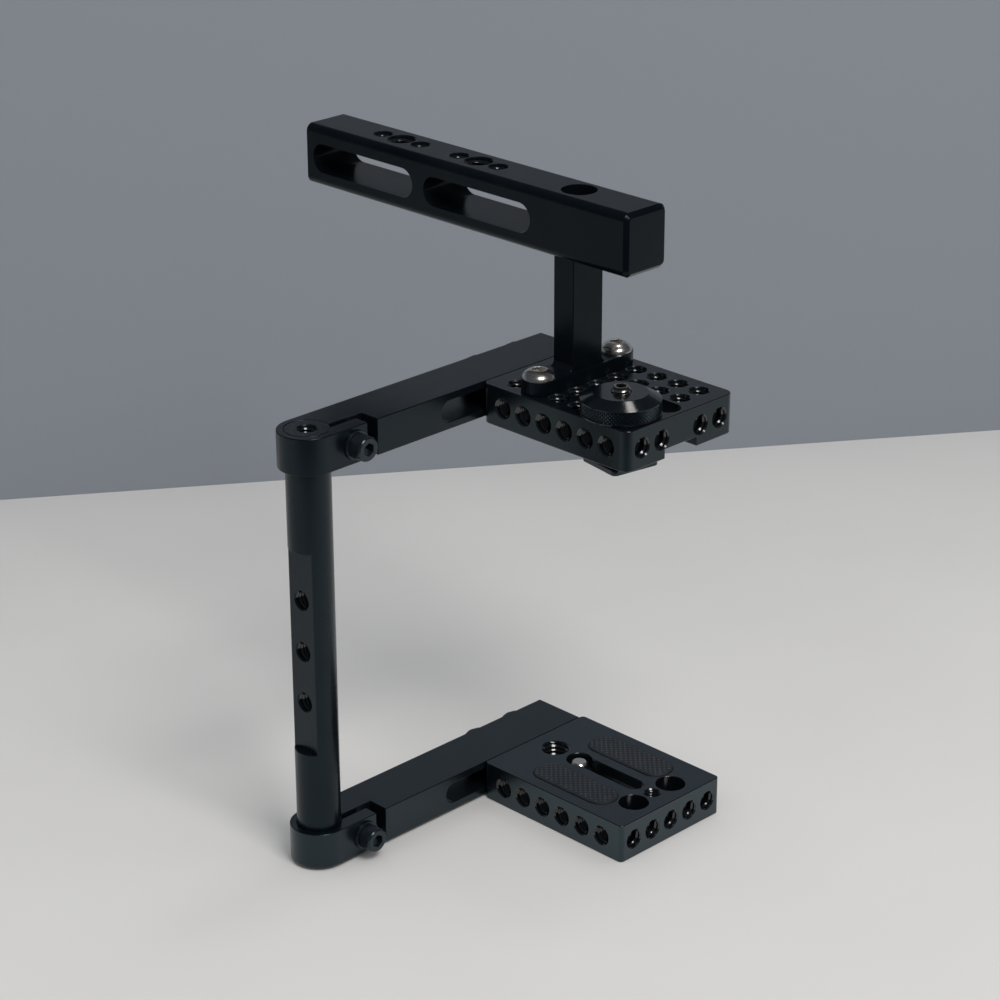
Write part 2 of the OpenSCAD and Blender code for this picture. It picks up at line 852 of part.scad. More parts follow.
module shoe_stud() {
    color(dark_steel)
        translate([knob_x, knob_y, 0])
            difference() {
                rotate_extrude()
                    polygon([
                        [0, stud_z],
                        [small_screw_d / 2, stud_z],
                        [small_screw_d / 2, stud_top_z - stud_chamfer],
                        [small_screw_d / 2 - stud_chamfer, stud_top_z],
                        [0, stud_top_z]
                    ]);
                translate([0, 0, stud_top_z - stud_socket_depth])
                    cylinder(d = stud_socket_d, h = stud_socket_depth + overrun, $fn = 6);
            }
}

module shoe_knob() {
    color(anodised)
        translate([knob_x, knob_y, knob_z])
            rotate_extrude($fn = 96)
                polygon([
                    [small_screw_d / 2 + turn_fit, 0],
                    [knob_d / 2 - knob_chamfer, 0],
                    [knob_d / 2, knob_chamfer],
                    [knob_d / 2, knob_rim_h],
                    [knob_top_d / 2, knob_h],
                    [small_screw_d / 2 + turn_fit, knob_h]
                ]);
}

base_plate();
base_pad_left();
base_pad_right();
camera_screw();
camera_screw_retainer();
lower_slide_screw_inner();
lower_slide_screw_outer();
lower_slide_washers();
lower_arm();
lower_clamp_screw();
lower_clamp_washer();
side_rod();
upper_arm();
upper_clamp_screw();
upper_clamp_washer();
top_plate();
upper_slide_screw_inner();
upper_slide_screw_outer();
upper_slide_washers();
handle_post();
handle_bar();
handle_bolt();
handle_foot_screws();
shoe_foot();
shoe_stud();
shoe_knob();
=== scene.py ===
"""Finish, threads, knurling and studio for the camera cage.

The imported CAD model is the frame. Most of its nodes get a copy with rounded edges, and the
turned, knurled and threaded pieces are modelled here on the places that the frame gives.
"""

import math

import bmesh
import bpy
from bpy.props import FloatProperty, FloatVectorProperty, IntProperty, PointerProperty
from mathutils import Matrix, Vector


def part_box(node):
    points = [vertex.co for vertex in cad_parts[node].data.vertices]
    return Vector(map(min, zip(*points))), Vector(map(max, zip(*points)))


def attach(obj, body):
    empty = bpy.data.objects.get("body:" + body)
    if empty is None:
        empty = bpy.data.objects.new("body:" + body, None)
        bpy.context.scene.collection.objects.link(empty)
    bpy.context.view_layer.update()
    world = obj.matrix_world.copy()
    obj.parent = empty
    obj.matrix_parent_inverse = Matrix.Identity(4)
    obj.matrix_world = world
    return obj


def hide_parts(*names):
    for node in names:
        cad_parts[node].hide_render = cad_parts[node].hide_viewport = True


bl_info = {
    "name": "Camera cage",
    "version": (1, 0, 0),
    "blender": (4, 5, 0),
    "location": "3D View > Sidebar > Cage",
    "description": "Finishes the plates, arms, rod, handle and screws of a camera cage",
    "category": "Object",
}

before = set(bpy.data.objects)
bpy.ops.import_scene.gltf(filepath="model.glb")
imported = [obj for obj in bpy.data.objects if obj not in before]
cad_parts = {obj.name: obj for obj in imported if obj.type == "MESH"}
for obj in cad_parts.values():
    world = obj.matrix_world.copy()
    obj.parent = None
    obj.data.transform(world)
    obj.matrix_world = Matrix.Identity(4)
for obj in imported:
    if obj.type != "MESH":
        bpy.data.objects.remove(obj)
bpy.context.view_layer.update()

MM = 0.001
UP = Vector((0, 0, 1))
DOWN = (0, 0, -1)

# Holes of the plates, as the CAD model has them. Columns count from the middle, in pitches, and the
# row without columns is the one where the handle stands.
PITCH = 9.36 * MM
SIDE_HOLES = 6
LEAD_IN = 0.45 * MM
SIDE_HOLE_DEPTH = 8 * MM
END_HOLE_DEPTH = 3.9 * MM
ROW_SHIFT = {"base_plate": 0.1 * MM, "top_plate": -0.3 * MM}
END_COLUMNS = {"base_plate": (-2, -1, 0, 1, 2), "top_plate": (-2, -1, 1, 2)}
TOP_COLUMNS = ((1, 2), (1, 2), (-2, -1, 1, 2), (-2, -1, 0, 1, 2), (), (-2, 2))
LARGE_HOLE_INSET = 10.3 * MM
LARGE_HOLE_DEPTH = 8 * MM
MID_HOLE_INSET = 8.9 * MM
MID_HOLE_DEPTH = 6 * MM

# Holes of the rod and the handle
ROD_FLAT_X = -4.7 * MM
ROD_MID_HOLE_Z = 79.2 * MM
ROD_HOLE_PITCH = 18.6 * MM
ROD_HOLE_DEPTH = 9 * MM
ROD_END_DEPTH = 16 * MM
HANDLE_WALL = 6.07 * MM
HANDLE_GROUPS = (46.6 * MM, 84.4 * MM)

# Threads: diameter, pitch and height of the rib
SMALL_THREAD = (6.35 * MM, 1.27 * MM, 0.5 * MM)
CROSS_THREAD = (6.65 * MM, 1.27 * MM, 0.55 * MM)
LARGE_THREAD = (9.53 * MM, 1.59 * MM, 0.7 * MM)
MID_THREAD = (5.3 * MM, 0.95 * MM, 0.4 * MM)

# A rib's outline: where its foot and its crest start in the pitch, and how deep its root lies in the wall
RIB_FOOT = 0.02
RIB_CREST = 0.42
RIB_SINK = 0.03 * MM

# Cap screws
CLAMP_SCREW = dict(thread_d=5 * MM, shank=16 * MM, pitch=0.8 * MM, head_d=8.5 * MM, head_h=5 * MM)
SLIDE_SCREW = dict(thread_d=6 * MM, shank=30.2 * MM, pitch=1 * MM, head_d=10 * MM, head_h=2.4 * MM)
HEAD_FOOT_H = 0.3 * MM
HEAD_FOOT_INSET = 0.2 * MM
TOOTH_DEPTH = 0.14 * MM
CHAMFER_SHARE = 1 / 16
SOCKET_SHARE = 0.8
SOCKET_DEPTH_SHARE = 0.5
SHANK_LAP_SHARE = 0.3
THREAD_DEPTH_SHARE = 1.1
SHANK_ROUND = 0.4 * MM
HEAD_TO_FRONT = math.radians(90)
HEAD_TO_BACK = -HEAD_TO_FRONT

# Button screws
BUTTON_SOCKET_D = 4.6 * MM
BUTTON_SOCKET_DEPTH = 2 * MM
BUTTON_HEAD_H = 3.35 * MM
BUTTON_THREAD_D = 6.2 * MM
BUTTON_WALL_H = 0.35 * MM
BUTTON_FOOT_ROUND = 0.15 * MM
BUTTON_TOP_RING = 0.4 * MM
BUTTON_SHANK_LAP = 0.5 * MM
BUTTON_ROUND = 0.05 * MM
DOME_STEPS = 12

# Knob: its sizes, the heights of its knurled band, and the steps of its outline
KNOB_BORE = 6.35 * MM
KNOB_RIM_D = 26.8 * MM
KNOB_RIM_H = 5.1 * MM
KNOB_TOP_D = 18.2 * MM
KNOB_BAND = (0.75 * MM, 4.75 * MM)
KNURL_ROWS = 6
FOOT_ROUND = 0.5 * MM
FOOT_TURN = 0.12 * MM
BAND_SLOPE = 0.3 * MM
BAND_SINK = 0.55 * MM
BAND_LAP = 0.1 * MM
LIP_INSET = 0.05 * MM
LIP_FOOT = 0.04 * MM
LIP_ROUND = 0.08 * MM
RIM_CHAMFER = 0.2 * MM
CONE_INSET = 0.25 * MM
CONE_DROP = 0.13 * MM
TOP_INSET = 0.1 * MM
BORE_CHAMFER = 0.3 * MM

# Stud and shoe foot
STUD_CORE_D = 5.1 * MM
STUD_SOCKET_D = 3.7 * MM
STUD_SOCKET_DEPTH = 3 * MM
STUD_PLAY = 0.1 * MM
STUD_TIP = 0.25 * MM
STUD_ROUND = 0.2 * MM
SHOE_ROUND = 0.25 * MM

# Pads. A dot is a low four-sided cone, and its corners lie at these shares of its width.
PAD_ROUND = 0.25 * MM
DOT_FOOT_SHARE = 0.78
DOT_TOP_SHARE = 0.52
DOT_DEPTH_SHARE = 1.2
DOT_MARGIN = 0.75 * MM

# Runs of edges shorter than these stay sharp on the milled pieces, such as the mouths of small holes
LONG_RUN = 10 * MM
POST_RUN = 8 * MM

# Segments round a turned or cut shape
HEX = 6
SHANK_PARTS = 32
STUD_PARTS = 48
PAD_PARTS = 64
BUTTON_PARTS = 72
KNOB_PARTS = 96
SCREW_RIB_STEPS = 20
STUD_RIB_STEPS = 32

# Angles between faces, and distances under which points merge
SHARP = math.radians(35)
SMOOTH = math.radians(34)
THREAD_SMOOTH = math.radians(50)
TURNED_SMOOTH = math.radians(20)
FLAT = math.radians(0.3)
MERGE = 2e-6
CLOSE = MERGE / 4

# How a cut face is told from a flat one and from a plate's own corner
ON_AXIS = 0.9995
UPRIGHT = 0.05
OFF_AXIS = 0.01
CORNER_REACH = 1.2 * MM

# Milling streaks are drawn out along one direction
ALONG_X = (0.12, 1, 1)
ALONG_Y = (1, 0.12, 1)
ALONG_Z = (1, 1, 0.12)
UNSTRETCHED = (1, 1, 1)

# Anodised finishes: roughness from the glossiest to the mattest spots, specular level, and streaks. The
# upper pieces have a lower level, because the photo shows them darker.
MILLED = (0.23, 0.27)
ANODISED = {
    "base_plate": (MILLED, 0.85, ALONG_X), "top_plate": (MILLED, 0.42, ALONG_X),
    "lower_arm": (MILLED, 0.6, ALONG_X), "upper_arm": (MILLED, 0.32, ALONG_X),
    "rod": ((0.24, 0.29), 0.32, ALONG_Z), "handle": ((0.20, 0.24), 0.14, ALONG_Y),
    "knurl": ((0.24, 0.32), 0.5, UNSTRETCHED), "thread": ((0.13, 0.18), 0.85, UNSTRETCHED),
}
COOL_SHEEN = (0.62, 0.88, 1.0)
PLAIN_SHEEN = (1, 1, 1)

# Roughness of the other finishes
GLOSS = {
    "knob": (0.12, 0.17), "stud": (0.16, 0.26), "oxide": (0.16, 0.24), "button": (0.20, 0.34),
    "bolt": (0.18, 0.32), "camera_screw": (0.14, 0.28), "rubber": (0.5, 0.62),
}

# Noises of the finishes: spots per metre, and detail
ANODISED_CLOUD = (55, 3)
ANODISED_STREAK = (900, 3)
ANODISED_GRAIN = (7000, 1)
TURNED_CLOUD = (420, 2)
TURNED_RINGS = (5200, 1)
OXIDE_CLOUD = (500, 3)
OXIDE_GRAIN = (5200, 2)
RUBBER_CLOUD = (260, 3)
RUBBER_GRAIN = (4200, 2)
FLOOR_CLOUD = (9, 5)

# Ranges that a noise texture, and the mean of two, mostly fill
NOISE_RANGE = (0.3, 0.7)
MEAN_RANGE = (0.35, 0.65)

# Relief of the finishes: depth and strength
METAL_RELIEF = (0.003 * MM, 0.4)
RUBBER_RELIEF = (0.012 * MM, 0.6)
RING_RELIEF = (0.006 * MM, 0.5)
KNOB_RELIEF = (0.001 * MM, 0.5)

# How much paler the pale spots of a finish are, the darker shade of the stud's steel, and the paler rubber
# on the pads' dot tops, which is a painted highlight
OXIDE_PALER = 1.7
RUBBER_PALER = 1.8
BRIGHT_PALER = 1.18
STUD_PALER = 1.5
FLOOR_PALER = 1.04
STUD_SHADE = 0.4
PAINTED_DOT_HIGHLIGHT = 3.5

# Stage. The camera's place and axes and the foot of the wall were solved from the photo's straight edges.
CAMERA_PLACE = Vector((-0.556241, -0.647806, 0.495644))
CAMERA_RIGHT = Vector((0.70877, -0.70543, -0.00314))
CAMERA_DOWN = Vector((-0.27916, -0.27639, -0.91961))
SENSOR_WIDTH = 36
CLIP = (0.05, 50)
WALL_FOOT = (Vector((106.3, 332.1, 0)) * MM, Vector((483.5, 69.1, 0)) * MM)
WALL_WIDTH = 8.0
WALL_HEIGHT = 0.36
TABLE_SIDE = 6.0
TABLE_EDGE = 0.33
WALL_MATT = (0.9, 0.1)
TABLE_MATT = (0.8, 0.2)
KEY_PLACE = Vector((-0.16, -0.88, 1.28))
TOP_PLACE = Vector((0.52, 0.02, 1.45))
LAMP_AIM = Vector((0.06, 0.0, 0.10))
LAMP_TINT = (1.0, 0.985, 0.96)
ROOM_TINT = (0.96, 0.98, 1.0)
SKY_RISE = (0.3, 0.95)


class CageSizes(bpy.types.PropertyGroup):
    """Sizes of the finishing work"""

    edge_round: FloatProperty(
        name="Edge round", description="Width of the rounding on milled edges",
        default=0.3 * MM, min=0, unit="LENGTH")
    small_round: FloatProperty(
        name="Small edge round", description="Width of the rounding on screws and small parts",
        default=0.12 * MM, min=0, unit="LENGTH")
    round_steps: IntProperty(
        name="Rounding steps", description="Segments across a rounded edge", default=3, min=1, max=6)
    thread_steps: IntProperty(
        name="Thread steps", description="Segments in one turn of a thread", default=24, min=12, max=64)
    dot_pitch: FloatProperty(
        name="Pad dot spacing", description="Distance between the dots moulded on a pad",
        default=1.65 * MM, min=0.5 * MM, unit="LENGTH")
    dot_width: FloatProperty(
        name="Pad dot width", description="Width of a dot's top from corner to corner, nearly",
        default=0.85 * MM, unit="LENGTH")
    dot_height: FloatProperty(
        name="Pad dot height", description="Height of a dot", default=0.28 * MM, unit="LENGTH")
    knurl_count: IntProperty(
        name="Knurl count", description="Diamonds round the knob's rim", default=62, min=24, max=160)
    knurl_depth: FloatProperty(
        name="Knurl depth", description="Depth of the knurl's grooves", default=0.42 * MM, unit="LENGTH")
    head_teeth: IntProperty(
        name="Screw head teeth", description="Fine teeth round a cap screw's head",
        default=40, min=12, max=80)


def swatch(name, description, default):
    """A colour in the panel."""
    return FloatVectorProperty(
        name=name, description=description, default=default, subtype="COLOR", size=3, min=0, max=1)


class CageColours(bpy.types.PropertyGroup):
    """Colours of the finishes"""

    anodised: swatch("Anodised", "Black anodised aluminium", (0.0016, 0.0028, 0.0042))
    anodised_light: swatch(
        "Anodised, thin", "Where the anodised layer is a little paler", (0.0034, 0.0050, 0.0070))
    black_steel: swatch("Black steel", "Black oxide on the cap screws", (0.0060, 0.0075, 0.0100))
    bright_steel: swatch("Bright steel", "Bare stainless screws", (0.60, 0.57, 0.54))
    rubber: swatch("Rubber", "Black rubber of the pads", (0.0085, 0.0105, 0.0135))
    floor: swatch("Floor", "Pale floor", (0.62, 0.61, 0.60))
    wall: swatch("Wall", "Grey wall behind the floor", (0.265, 0.285, 0.320))
    backdrop: swatch(
        "Backdrop", "The room above the wall, as the camera and glossy metal see it", (0.055, 0.061, 0.070))


class CageStudio(bpy.types.PropertyGroup):
    """Lamps, room light and camera"""

    key_power: FloatProperty(
        name="Front lamp", description="Power of the soft box at the front right", default=11.5, min=0,
        unit="POWER")
    key_size: FloatProperty(
        name="Front lamp size", description="Side of that soft box", default=0.56, min=0.01, unit="LENGTH")
    top_power: FloatProperty(
        name="Top lamp", description="Power of the soft box overhead", default=1.3, min=0, unit="POWER")
    top_size: FloatProperty(
        name="Top lamp size", description="Side of that soft box", default=0.21, min=0.01, unit="LENGTH")
    sky_top: FloatProperty(
        name="Room light above", description="Strength of the room's light from above", default=0.85, min=0)
    sky_side: FloatProperty(
        name="Room light at the sides", description="Strength of the room's light from the sides",
        default=0.42, min=0)
    lens: FloatProperty(
        name="Lens", description="Focal length of the camera, in millimetres", default=103.33, min=1)


# Helpers for objects and meshes


def sizes_and_colours(context):
    return context.scene.cage_sizes, context.scene.cage_colours


def deselect():
    for other in list(bpy.context.selected_objects):
        other.select_set(False)


def make_active(piece):
    deselect()
    piece.select_set(True)
    bpy.context.view_layer.objects.active = piece


def edit(piece):
    """Edit mode on one piece, with all of it selected."""
    make_active(piece)
    bpy.ops.object.mode_set(mode="EDIT")
    bpy.ops.mesh.select_all(action="SELECT")


def leave_edit():
    bpy.ops.object.mode_set(mode="OBJECT")


def apply_modifier(piece, kind, **settings):
    make_active(piece)
    modifier = piece.modifiers.new(kind.title(), kind)
    for key, value in settings.items():
        setattr(modifier, key, value)
    bpy.ops.object.modifier_apply(modifier=modifier.name)


def place_in_mesh(piece, matrix=Matrix.Identity(4)):
    """Moves the mesh itself, so that the object stays at the origin."""
    piece.data.transform(piece.matrix_world)
    piece.matrix_world = Matrix.Identity(4)
    piece.data.transform(matrix)
    piece.data.update()


def named_active(name):
    """The active object, such as a new primitive, with this name on it and on its mesh."""
    piece = bpy.context.active_object
    piece.name = name
    piece.data.name = name
    return piece


def outward_normals(piece):
    edit(piece)
    bpy.ops.mesh.remove_doubles(threshold=CLOSE)
    bpy.ops.mesh.normals_make_consistent(inside=False)
    leave_edit()


def smooth(piece, angle=SMOOTH):
    """Smooth shading up to an angle, with large faces kept flat."""
    make_active(piece)
    bpy.ops.object.shade_smooth_by_angle(angle=angle)
    apply_modifier(piece, "WEIGHTED_NORMAL", keep_sharp=True, weight=80)


def joined(pieces, name):
    deselect()
    for piece in pieces:
        piece.select_set(True)
    bpy.context.view_layer.objects.active = pieces[0]
    bpy.ops.object.join()
    return named_active(name)


def placed_copy(piece, matrix):
    copy = bpy.data.objects.new(piece.name, piece.data.copy())
    copy.data.transform(matrix)
    bpy.context.scene.collection.objects.link(copy)
    return copy


def remove(piece):
    mesh = piece.data
    bpy.data.objects.remove(piece)
    bpy.data.meshes.remove(mesh)


def axis_of(node):
    """Where the upright axis of a node's box meets the floor."""
    low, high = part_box(node)
    return Vector(((low.x + high.x) / 2, (low.y + high.y) / 2, 0))


def merged_copy(node, name):
    """A copy of a CAD node's mesh, its loose triangles merged and its flat faces made whole."""
    piece = bpy.data.objects.new(name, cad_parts[node].data.copy())
    piece.data.materials.clear()
    bpy.context.scene.collection.objects.link(piece)
    make_active(piece)
    bpy.ops.mesh.customdata_custom_splitnormals_clear()
    edit(piece)
    bpy.ops.mesh.mark_sharp(clear=True)
    bpy.ops.mesh.remove_doubles(threshold=MERGE)
    bpy.ops.mesh.dissolve_limited(angle_limit=FLAT, delimit={"NORMAL"})
    leave_edit()
    return piece


def edge_runs(edges):
    """Edges in connected runs."""
    left = set(edges)
    while left:
        front = [left.pop()]
        run = []
        while front:
            edge = front.pop()
            run.append(edge)
            for vert in edge.verts:
                for near in vert.link_edges:
                    if near in left:
                        left.discard(near)
                        front.append(near)
        yield run


def extent(run):
    """The longest side of the box round a run of edges."""
    points = [vert.co for edge in run for vert in edge.verts]
    return max(max(p[i] for p in points) - min(p[i] for p in points) for i in range(3))


def curved(face):
    """A strip of a bore or a rounded corner: it meets a neighbour at a small angle."""
    return any(FLAT < e.calc_face_angle(0) < SMOOTH for e in face.edges)


def round_edges(piece, width, least=0.0, steps=3):
    """Rounds the outward edges of every run that is at least so long overall.

    With a least length, edges between two curved strips stay as they are.
    """
    shape = bmesh.new()
    shape.from_mesh(piece.data)
    weight = shape.edges.layers.float.new("bevel_weight_edge")
    sharp = [e for e in shape.edges if len(e.link_faces) == 2 and e.calc_face_angle_signed() > SHARP]
    if least:
        sharp = [e for e in sharp if not all(curved(f) for f in e.link_faces)]
    for run in edge_runs(sharp):
        if extent(run) >= least:
            for edge in run:
                edge[weight] = 1.0
    shape.to_mesh(piece.data)
    shape.free()
    apply_modifier(
        piece, "BEVEL", width=width, segments=steps, limit_method="WEIGHT",
        use_clamp_overlap=False, loop_slide=False)


def is_cut(face, low, high):
    """A hole's wall or a rounded edge, but not one of the plate's own upright corners."""
    x, y, z = (abs(n) for n in face.normal)
    slanted = max(x, y, z) < ON_AXIS
    upright = z < UPRIGHT and min(x, y) > OFF_AXIS
    gaps = [min(face.center[i] - low[i], high[i] - face.center[i]) for i in (0, 1)]
    return slanted and not (upright and min(gaps) < CORNER_REACH)


def finish(piece, material, body, nodes=(), glossy=None):
    """Gives a piece its material, and the glossy one on its cut faces, puts it in its body and hides the CAD
    nodes that it stands for.
    """
    piece.data.materials.clear()
    piece.data.materials.append(material)
    if glossy:
        piece.data.materials.append(glossy)
        low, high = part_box(nodes[0])
        for face in piece.data.polygons:
            face.material_index = int(is_cut(face, low, high))
    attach(piece, body)
    if nodes:
        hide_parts(*nodes)


def rounded_node(node, name, material, body, width, least=0.0, steps=3, glossy=None):
    """A finished copy of a CAD node, with its longer edges rounded."""
    piece = merged_copy(node, name)
    round_edges(piece, width, least, steps)
    smooth(piece)
    finish(piece, material, body, (node,), glossy)


def milled_node(node, name, material, body, sizes, least=LONG_RUN, glossy=None):
    rounded_node(node, name, material, body, sizes.edge_round, least, sizes.round_steps, glossy)


def small_node(node, name, material, body, sizes):
    rounded_node(node, name, material, body, sizes.small_round, steps=2)


# Materials


def new_material(name):
    material = bpy.data.materials.get(name)
    if material is None:
        material = bpy.data.materials.new(name)
    material.use_nodes = True
    return material, material.node_tree, material.node_tree.nodes["Principled BSDF"]


def object_coords(tree, scale=UNSTRETCHED, centre=(0, 0, 0)):
    coords = tree.nodes.new("ShaderNodeTexCoord")
    mapping = tree.nodes.new("ShaderNodeMapping")
    mapping.inputs["Location"].default_value = [-c * s for c, s in zip(centre, scale)]
    mapping.inputs["Scale"].default_value = scale
    tree.links.new(coords.outputs["Object"], mapping.inputs["Vector"])
    return mapping.outputs["Vector"]


def noise(tree, coords, kind):
    node = tree.nodes.new("ShaderNodeTexNoise")
    node.inputs["Scale"].default_value, node.inputs["Detail"].default_value = kind
    tree.links.new(coords, node.inputs["Vector"])
    return node.outputs["Fac"]


def remap(tree, value, to, source=NOISE_RANGE):
    """A value carried from one range to another, and held at its ends."""
    node = tree.nodes.new("ShaderNodeMapRange")
    node.inputs["From Min"].default_value, node.inputs["From Max"].default_value = source
    node.inputs["To Min"].default_value, node.inputs["To Max"].default_value = to
    tree.links.new(value, node.inputs["Value"])
    return node.outputs["Result"]


def clouded(tree, cloud, first, second):
    """Two colours, mixed by a noise."""
    node = tree.nodes.new("ShaderNodeMix")
    node.data_type = "RGBA"
    ends = [socket for socket in node.inputs if socket.type == "RGBA"]
    for socket, colour in zip(ends, (first, second)):
        socket.default_value = (*colour, 1)
    tree.links.new(remap(tree, cloud, (0, 1)), node.inputs[0])
    return next(socket for socket in node.outputs if socket.type == "RGBA")


def math_node(tree, operation, first, second=0.0):
    node = tree.nodes.new("ShaderNodeMath")
    node.operation = operation
    for value, socket in zip((first, second), node.inputs):
        if isinstance(value, (int, float)):
            socket.default_value = value
        else:
            tree.links.new(value, socket)
    return node.outputs[0]


def bump(tree, height, relief):
    node = tree.nodes.new("ShaderNodeBump")
    node.inputs["Distance"].default_value, node.inputs["Strength"].default_value = relief
    tree.links.new(height, node.inputs["Height"])
    return node.outputs["Normal"]


def dress(tree, shader, colour, roughness, normal):
    for name, value in (("Base Color", colour), ("Roughness", roughness), ("Normal", normal)):
        tree.links.new(value, shader.inputs[name])


def shaded(colour, factor):
    return [min(1, c * factor) for c in colour]


def anodised(look, colours, tint=COOL_SHEEN):
    """Blasted and anodised aluminium: a fine grain, faint milling streaks, a slightly uneven black."""
    roughness, sheen, stretch = ANODISED[look]
    material, tree, shader = new_material(f"anodised_{look}")
    if shader.inputs["Normal"].is_linked:
        return material
    plain = object_coords(tree)
    streaks = noise(tree, object_coords(tree, stretch), ANODISED_STREAK)
    cloud = noise(tree, plain, ANODISED_CLOUD)
    grain = noise(tree, plain, ANODISED_GRAIN)
    halves = [math_node(tree, "MULTIPLY", part, 0.5) for part in (streaks, cloud)]
    dress(tree, shader, clouded(tree, cloud, colours.anodised, colours.anodised_light),
          remap(tree, math_node(tree, "ADD", *halves), roughness, MEAN_RANGE),
          bump(tree, grain, METAL_RELIEF))
    shader.inputs["Metallic"].default_value = 0.0
    shader.inputs["IOR"].default_value = 1.5
    shader.inputs["Specular IOR Level"].default_value = sheen
    shader.inputs["Specular Tint"].default_value = (*tint, 1)
    return material


def cut_finish(colours):
    """The glossier anodised finish of bores, threads and rounded edges."""
    return anodised("thread", colours, PLAIN_SHEEN)


def turned_metal(name, first, second, roughness, metallic, centre, spread=0.0, relief=RING_RELIEF):
    """Metal turned round an upright axis, or round two that stand so far to each side in X.

    It has fine rings round the axis, with a little grain.
    """
    material, tree, shader = new_material(name)
    coords = object_coords(tree, centre=centre)
    split = tree.nodes.new("ShaderNodeSeparateXYZ")
    tree.links.new(coords, split.inputs["Vector"])
    across = math_node(tree, "SUBTRACT", math_node(tree, "ABSOLUTE", split.outputs["X"]), spread)
    squares = [math_node(tree, "MULTIPLY", side, side) for side in (across, split.outputs["Y"])]
    join = tree.nodes.new("ShaderNodeCombineXYZ")
    tree.links.new(math_node(tree, "SQRT", math_node(tree, "ADD", *squares)), join.inputs["X"])
    tree.links.new(split.outputs["Z"], join.inputs["Y"])
    rings = noise(tree, join.outputs["Vector"], TURNED_RINGS)
    cloud = noise(tree, coords, TURNED_CLOUD)
    dress(tree, shader, clouded(tree, cloud, first, second), remap(tree, rings, roughness),
          bump(tree, rings, relief))
    shader.inputs["Metallic"].default_value = metallic
    return material


def black_oxide(colours):
    """Oiled black oxide on steel: nearly black, a little uneven, with a soft gloss."""
    material, tree, shader = new_material("black_oxide")
    if shader.inputs["Normal"].is_linked:
        return material
    plain = object_coords(tree)
    cloud = noise(tree, plain, OXIDE_CLOUD)
    grain = noise(tree, plain, OXIDE_GRAIN)
    dress(tree, shader, clouded(tree, cloud, colours.black_steel, shaded(colours.black_steel, OXIDE_PALER)),
          remap(tree, cloud, GLOSS["oxide"]), bump(tree, grain, METAL_RELIEF))
    shader.inputs["Specular Tint"].default_value = (*COOL_SHEEN, 1)
    return material


def pad_rubber(name, shade):
    """Matt black rubber with a fine moulded grain and a trace of dust."""
    material, tree, shader = new_material(name)
    plain = object_coords(tree)
    cloud = noise(tree, plain, RUBBER_CLOUD)
    grain = noise(tree, plain, RUBBER_GRAIN)
    dress(tree, shader, clouded(tree, cloud, shade, shaded(shade, RUBBER_PALER)),
          remap(tree, cloud, GLOSS["rubber"]), bump(tree, grain, RUBBER_RELIEF))
    return material


# Turned shapes and threads


def upright_cylinder(name, radius, bottom, top, vertices, fill="NGON", x=0, y=0):
    """A cylinder between two heights, with its place in its mesh."""
    deselect()
    bpy.ops.mesh.primitive_cylinder_add(
        vertices=vertices, radius=radius, depth=top - bottom, end_fill_type=fill,
        location=(x, y, (bottom + top) / 2))
    piece = named_active(name)
    place_in_mesh(piece)
    return piece


def cut_rings(piece, heights):
    """Adds a ring of edges round a piece at each height."""
    edit(piece)
    for height in heights:
        bpy.ops.mesh.select_all(action="SELECT")
        bpy.ops.mesh.bisect(plane_co=(0, 0, height), plane_no=UP)
    leave_edit()


def cut_socket(piece, diameter, bottom, top):
    """Cuts a hex socket on the Z axis, from bottom up through top."""
    over = 1 * MM
    tool = upright_cylinder("cutter", diameter / 2, bottom, top + over, HEX)
    apply_modifier(piece, "BOOLEAN", object=tool, operation="DIFFERENCE", solver="EXACT")
    remove(tool)


def turned_profile(name, profile, steps):
    """Spins a closed outline of (radius, height) points round the Z axis."""
    deselect()
    bpy.ops.mesh.primitive_circle_add(vertices=len(profile), radius=1)
    piece = named_active(name)
    for vert, (radius, height) in zip(piece.data.vertices, profile):
        vert.co = (radius, 0, height)
    edit(piece)
    bpy.ops.mesh.spin(steps=steps, angle=2 * math.pi, center=(0, 0, 0), axis=UP)
    leave_edit()
    outward_normals(piece)
    return piece


def plain_shank(radius, bottom, top):
    shank = upright_cylinder("shank", radius, bottom, top, SHANK_PARTS)
    round_edges(shank, SHANK_ROUND, steps=2)
    smooth(shank)
    return shank


def thread_rib(core, pitch, height, turns, inward, steps):
    """One helical rib with a flat crest that stands on the origin and climbs along +Z."""
    root = core / 2 + (RIB_SINK if inward else -RIB_SINK)
    crest = core / 2 + (-height if inward else height)
    outline = ((root, RIB_FOOT), (crest, RIB_CREST), (crest, 1 - RIB_CREST), (root, 1 - RIB_FOOT))
    deselect()
    bpy.ops.mesh.primitive_plane_add(size=pitch)
    rib = named_active("rib")
    corners = sorted(rib.data.vertices, key=lambda v: math.atan2(v.co.y, v.co.x))
    for vert, (across, share) in zip(corners, outline):
        vert.co = (across, 0, share * pitch)
    edit(rib)
    bpy.ops.mesh.delete(type="ONLY_FACE")
    leave_edit()
    apply_modifier(
        rib, "SCREW", axis="Z", angle=2 * math.pi, screw_offset=pitch, iterations=turns,
        steps=steps, render_steps=steps, use_merge_vertices=False)
    shape = bmesh.new()
    shape.from_mesh(rib.data)
    bmesh.ops.holes_fill(shape, edges=shape.edges, sides=4)
    bmesh.ops.recalc_face_normals(shape, faces=shape.faces)
    shape.to_mesh(rib.data)
    shape.free()
    return rib


def outer_rib(core, thread_d, pitch, turns, steps, foot):
    """The rib round a screw's or stud's core, starting at a height."""
    rib = thread_rib(core, pitch, (thread_d - core) / 2, turns, False, steps)
    place_in_mesh(rib, Matrix.Translation((0, 0, foot)))
    smooth(rib, THREAD_SMOOTH)
    return rib


def hole_matrix(mouth, into):
    """Puts a rib that climbs along +Z into a hole, starting just under its lead-in."""
    turn = Vector(into).to_track_quat("Z", "Y").to_matrix().to_4x4()
    return Matrix.Translation(Vector(mouth) + Vector(into) * LEAD_IN) @ turn


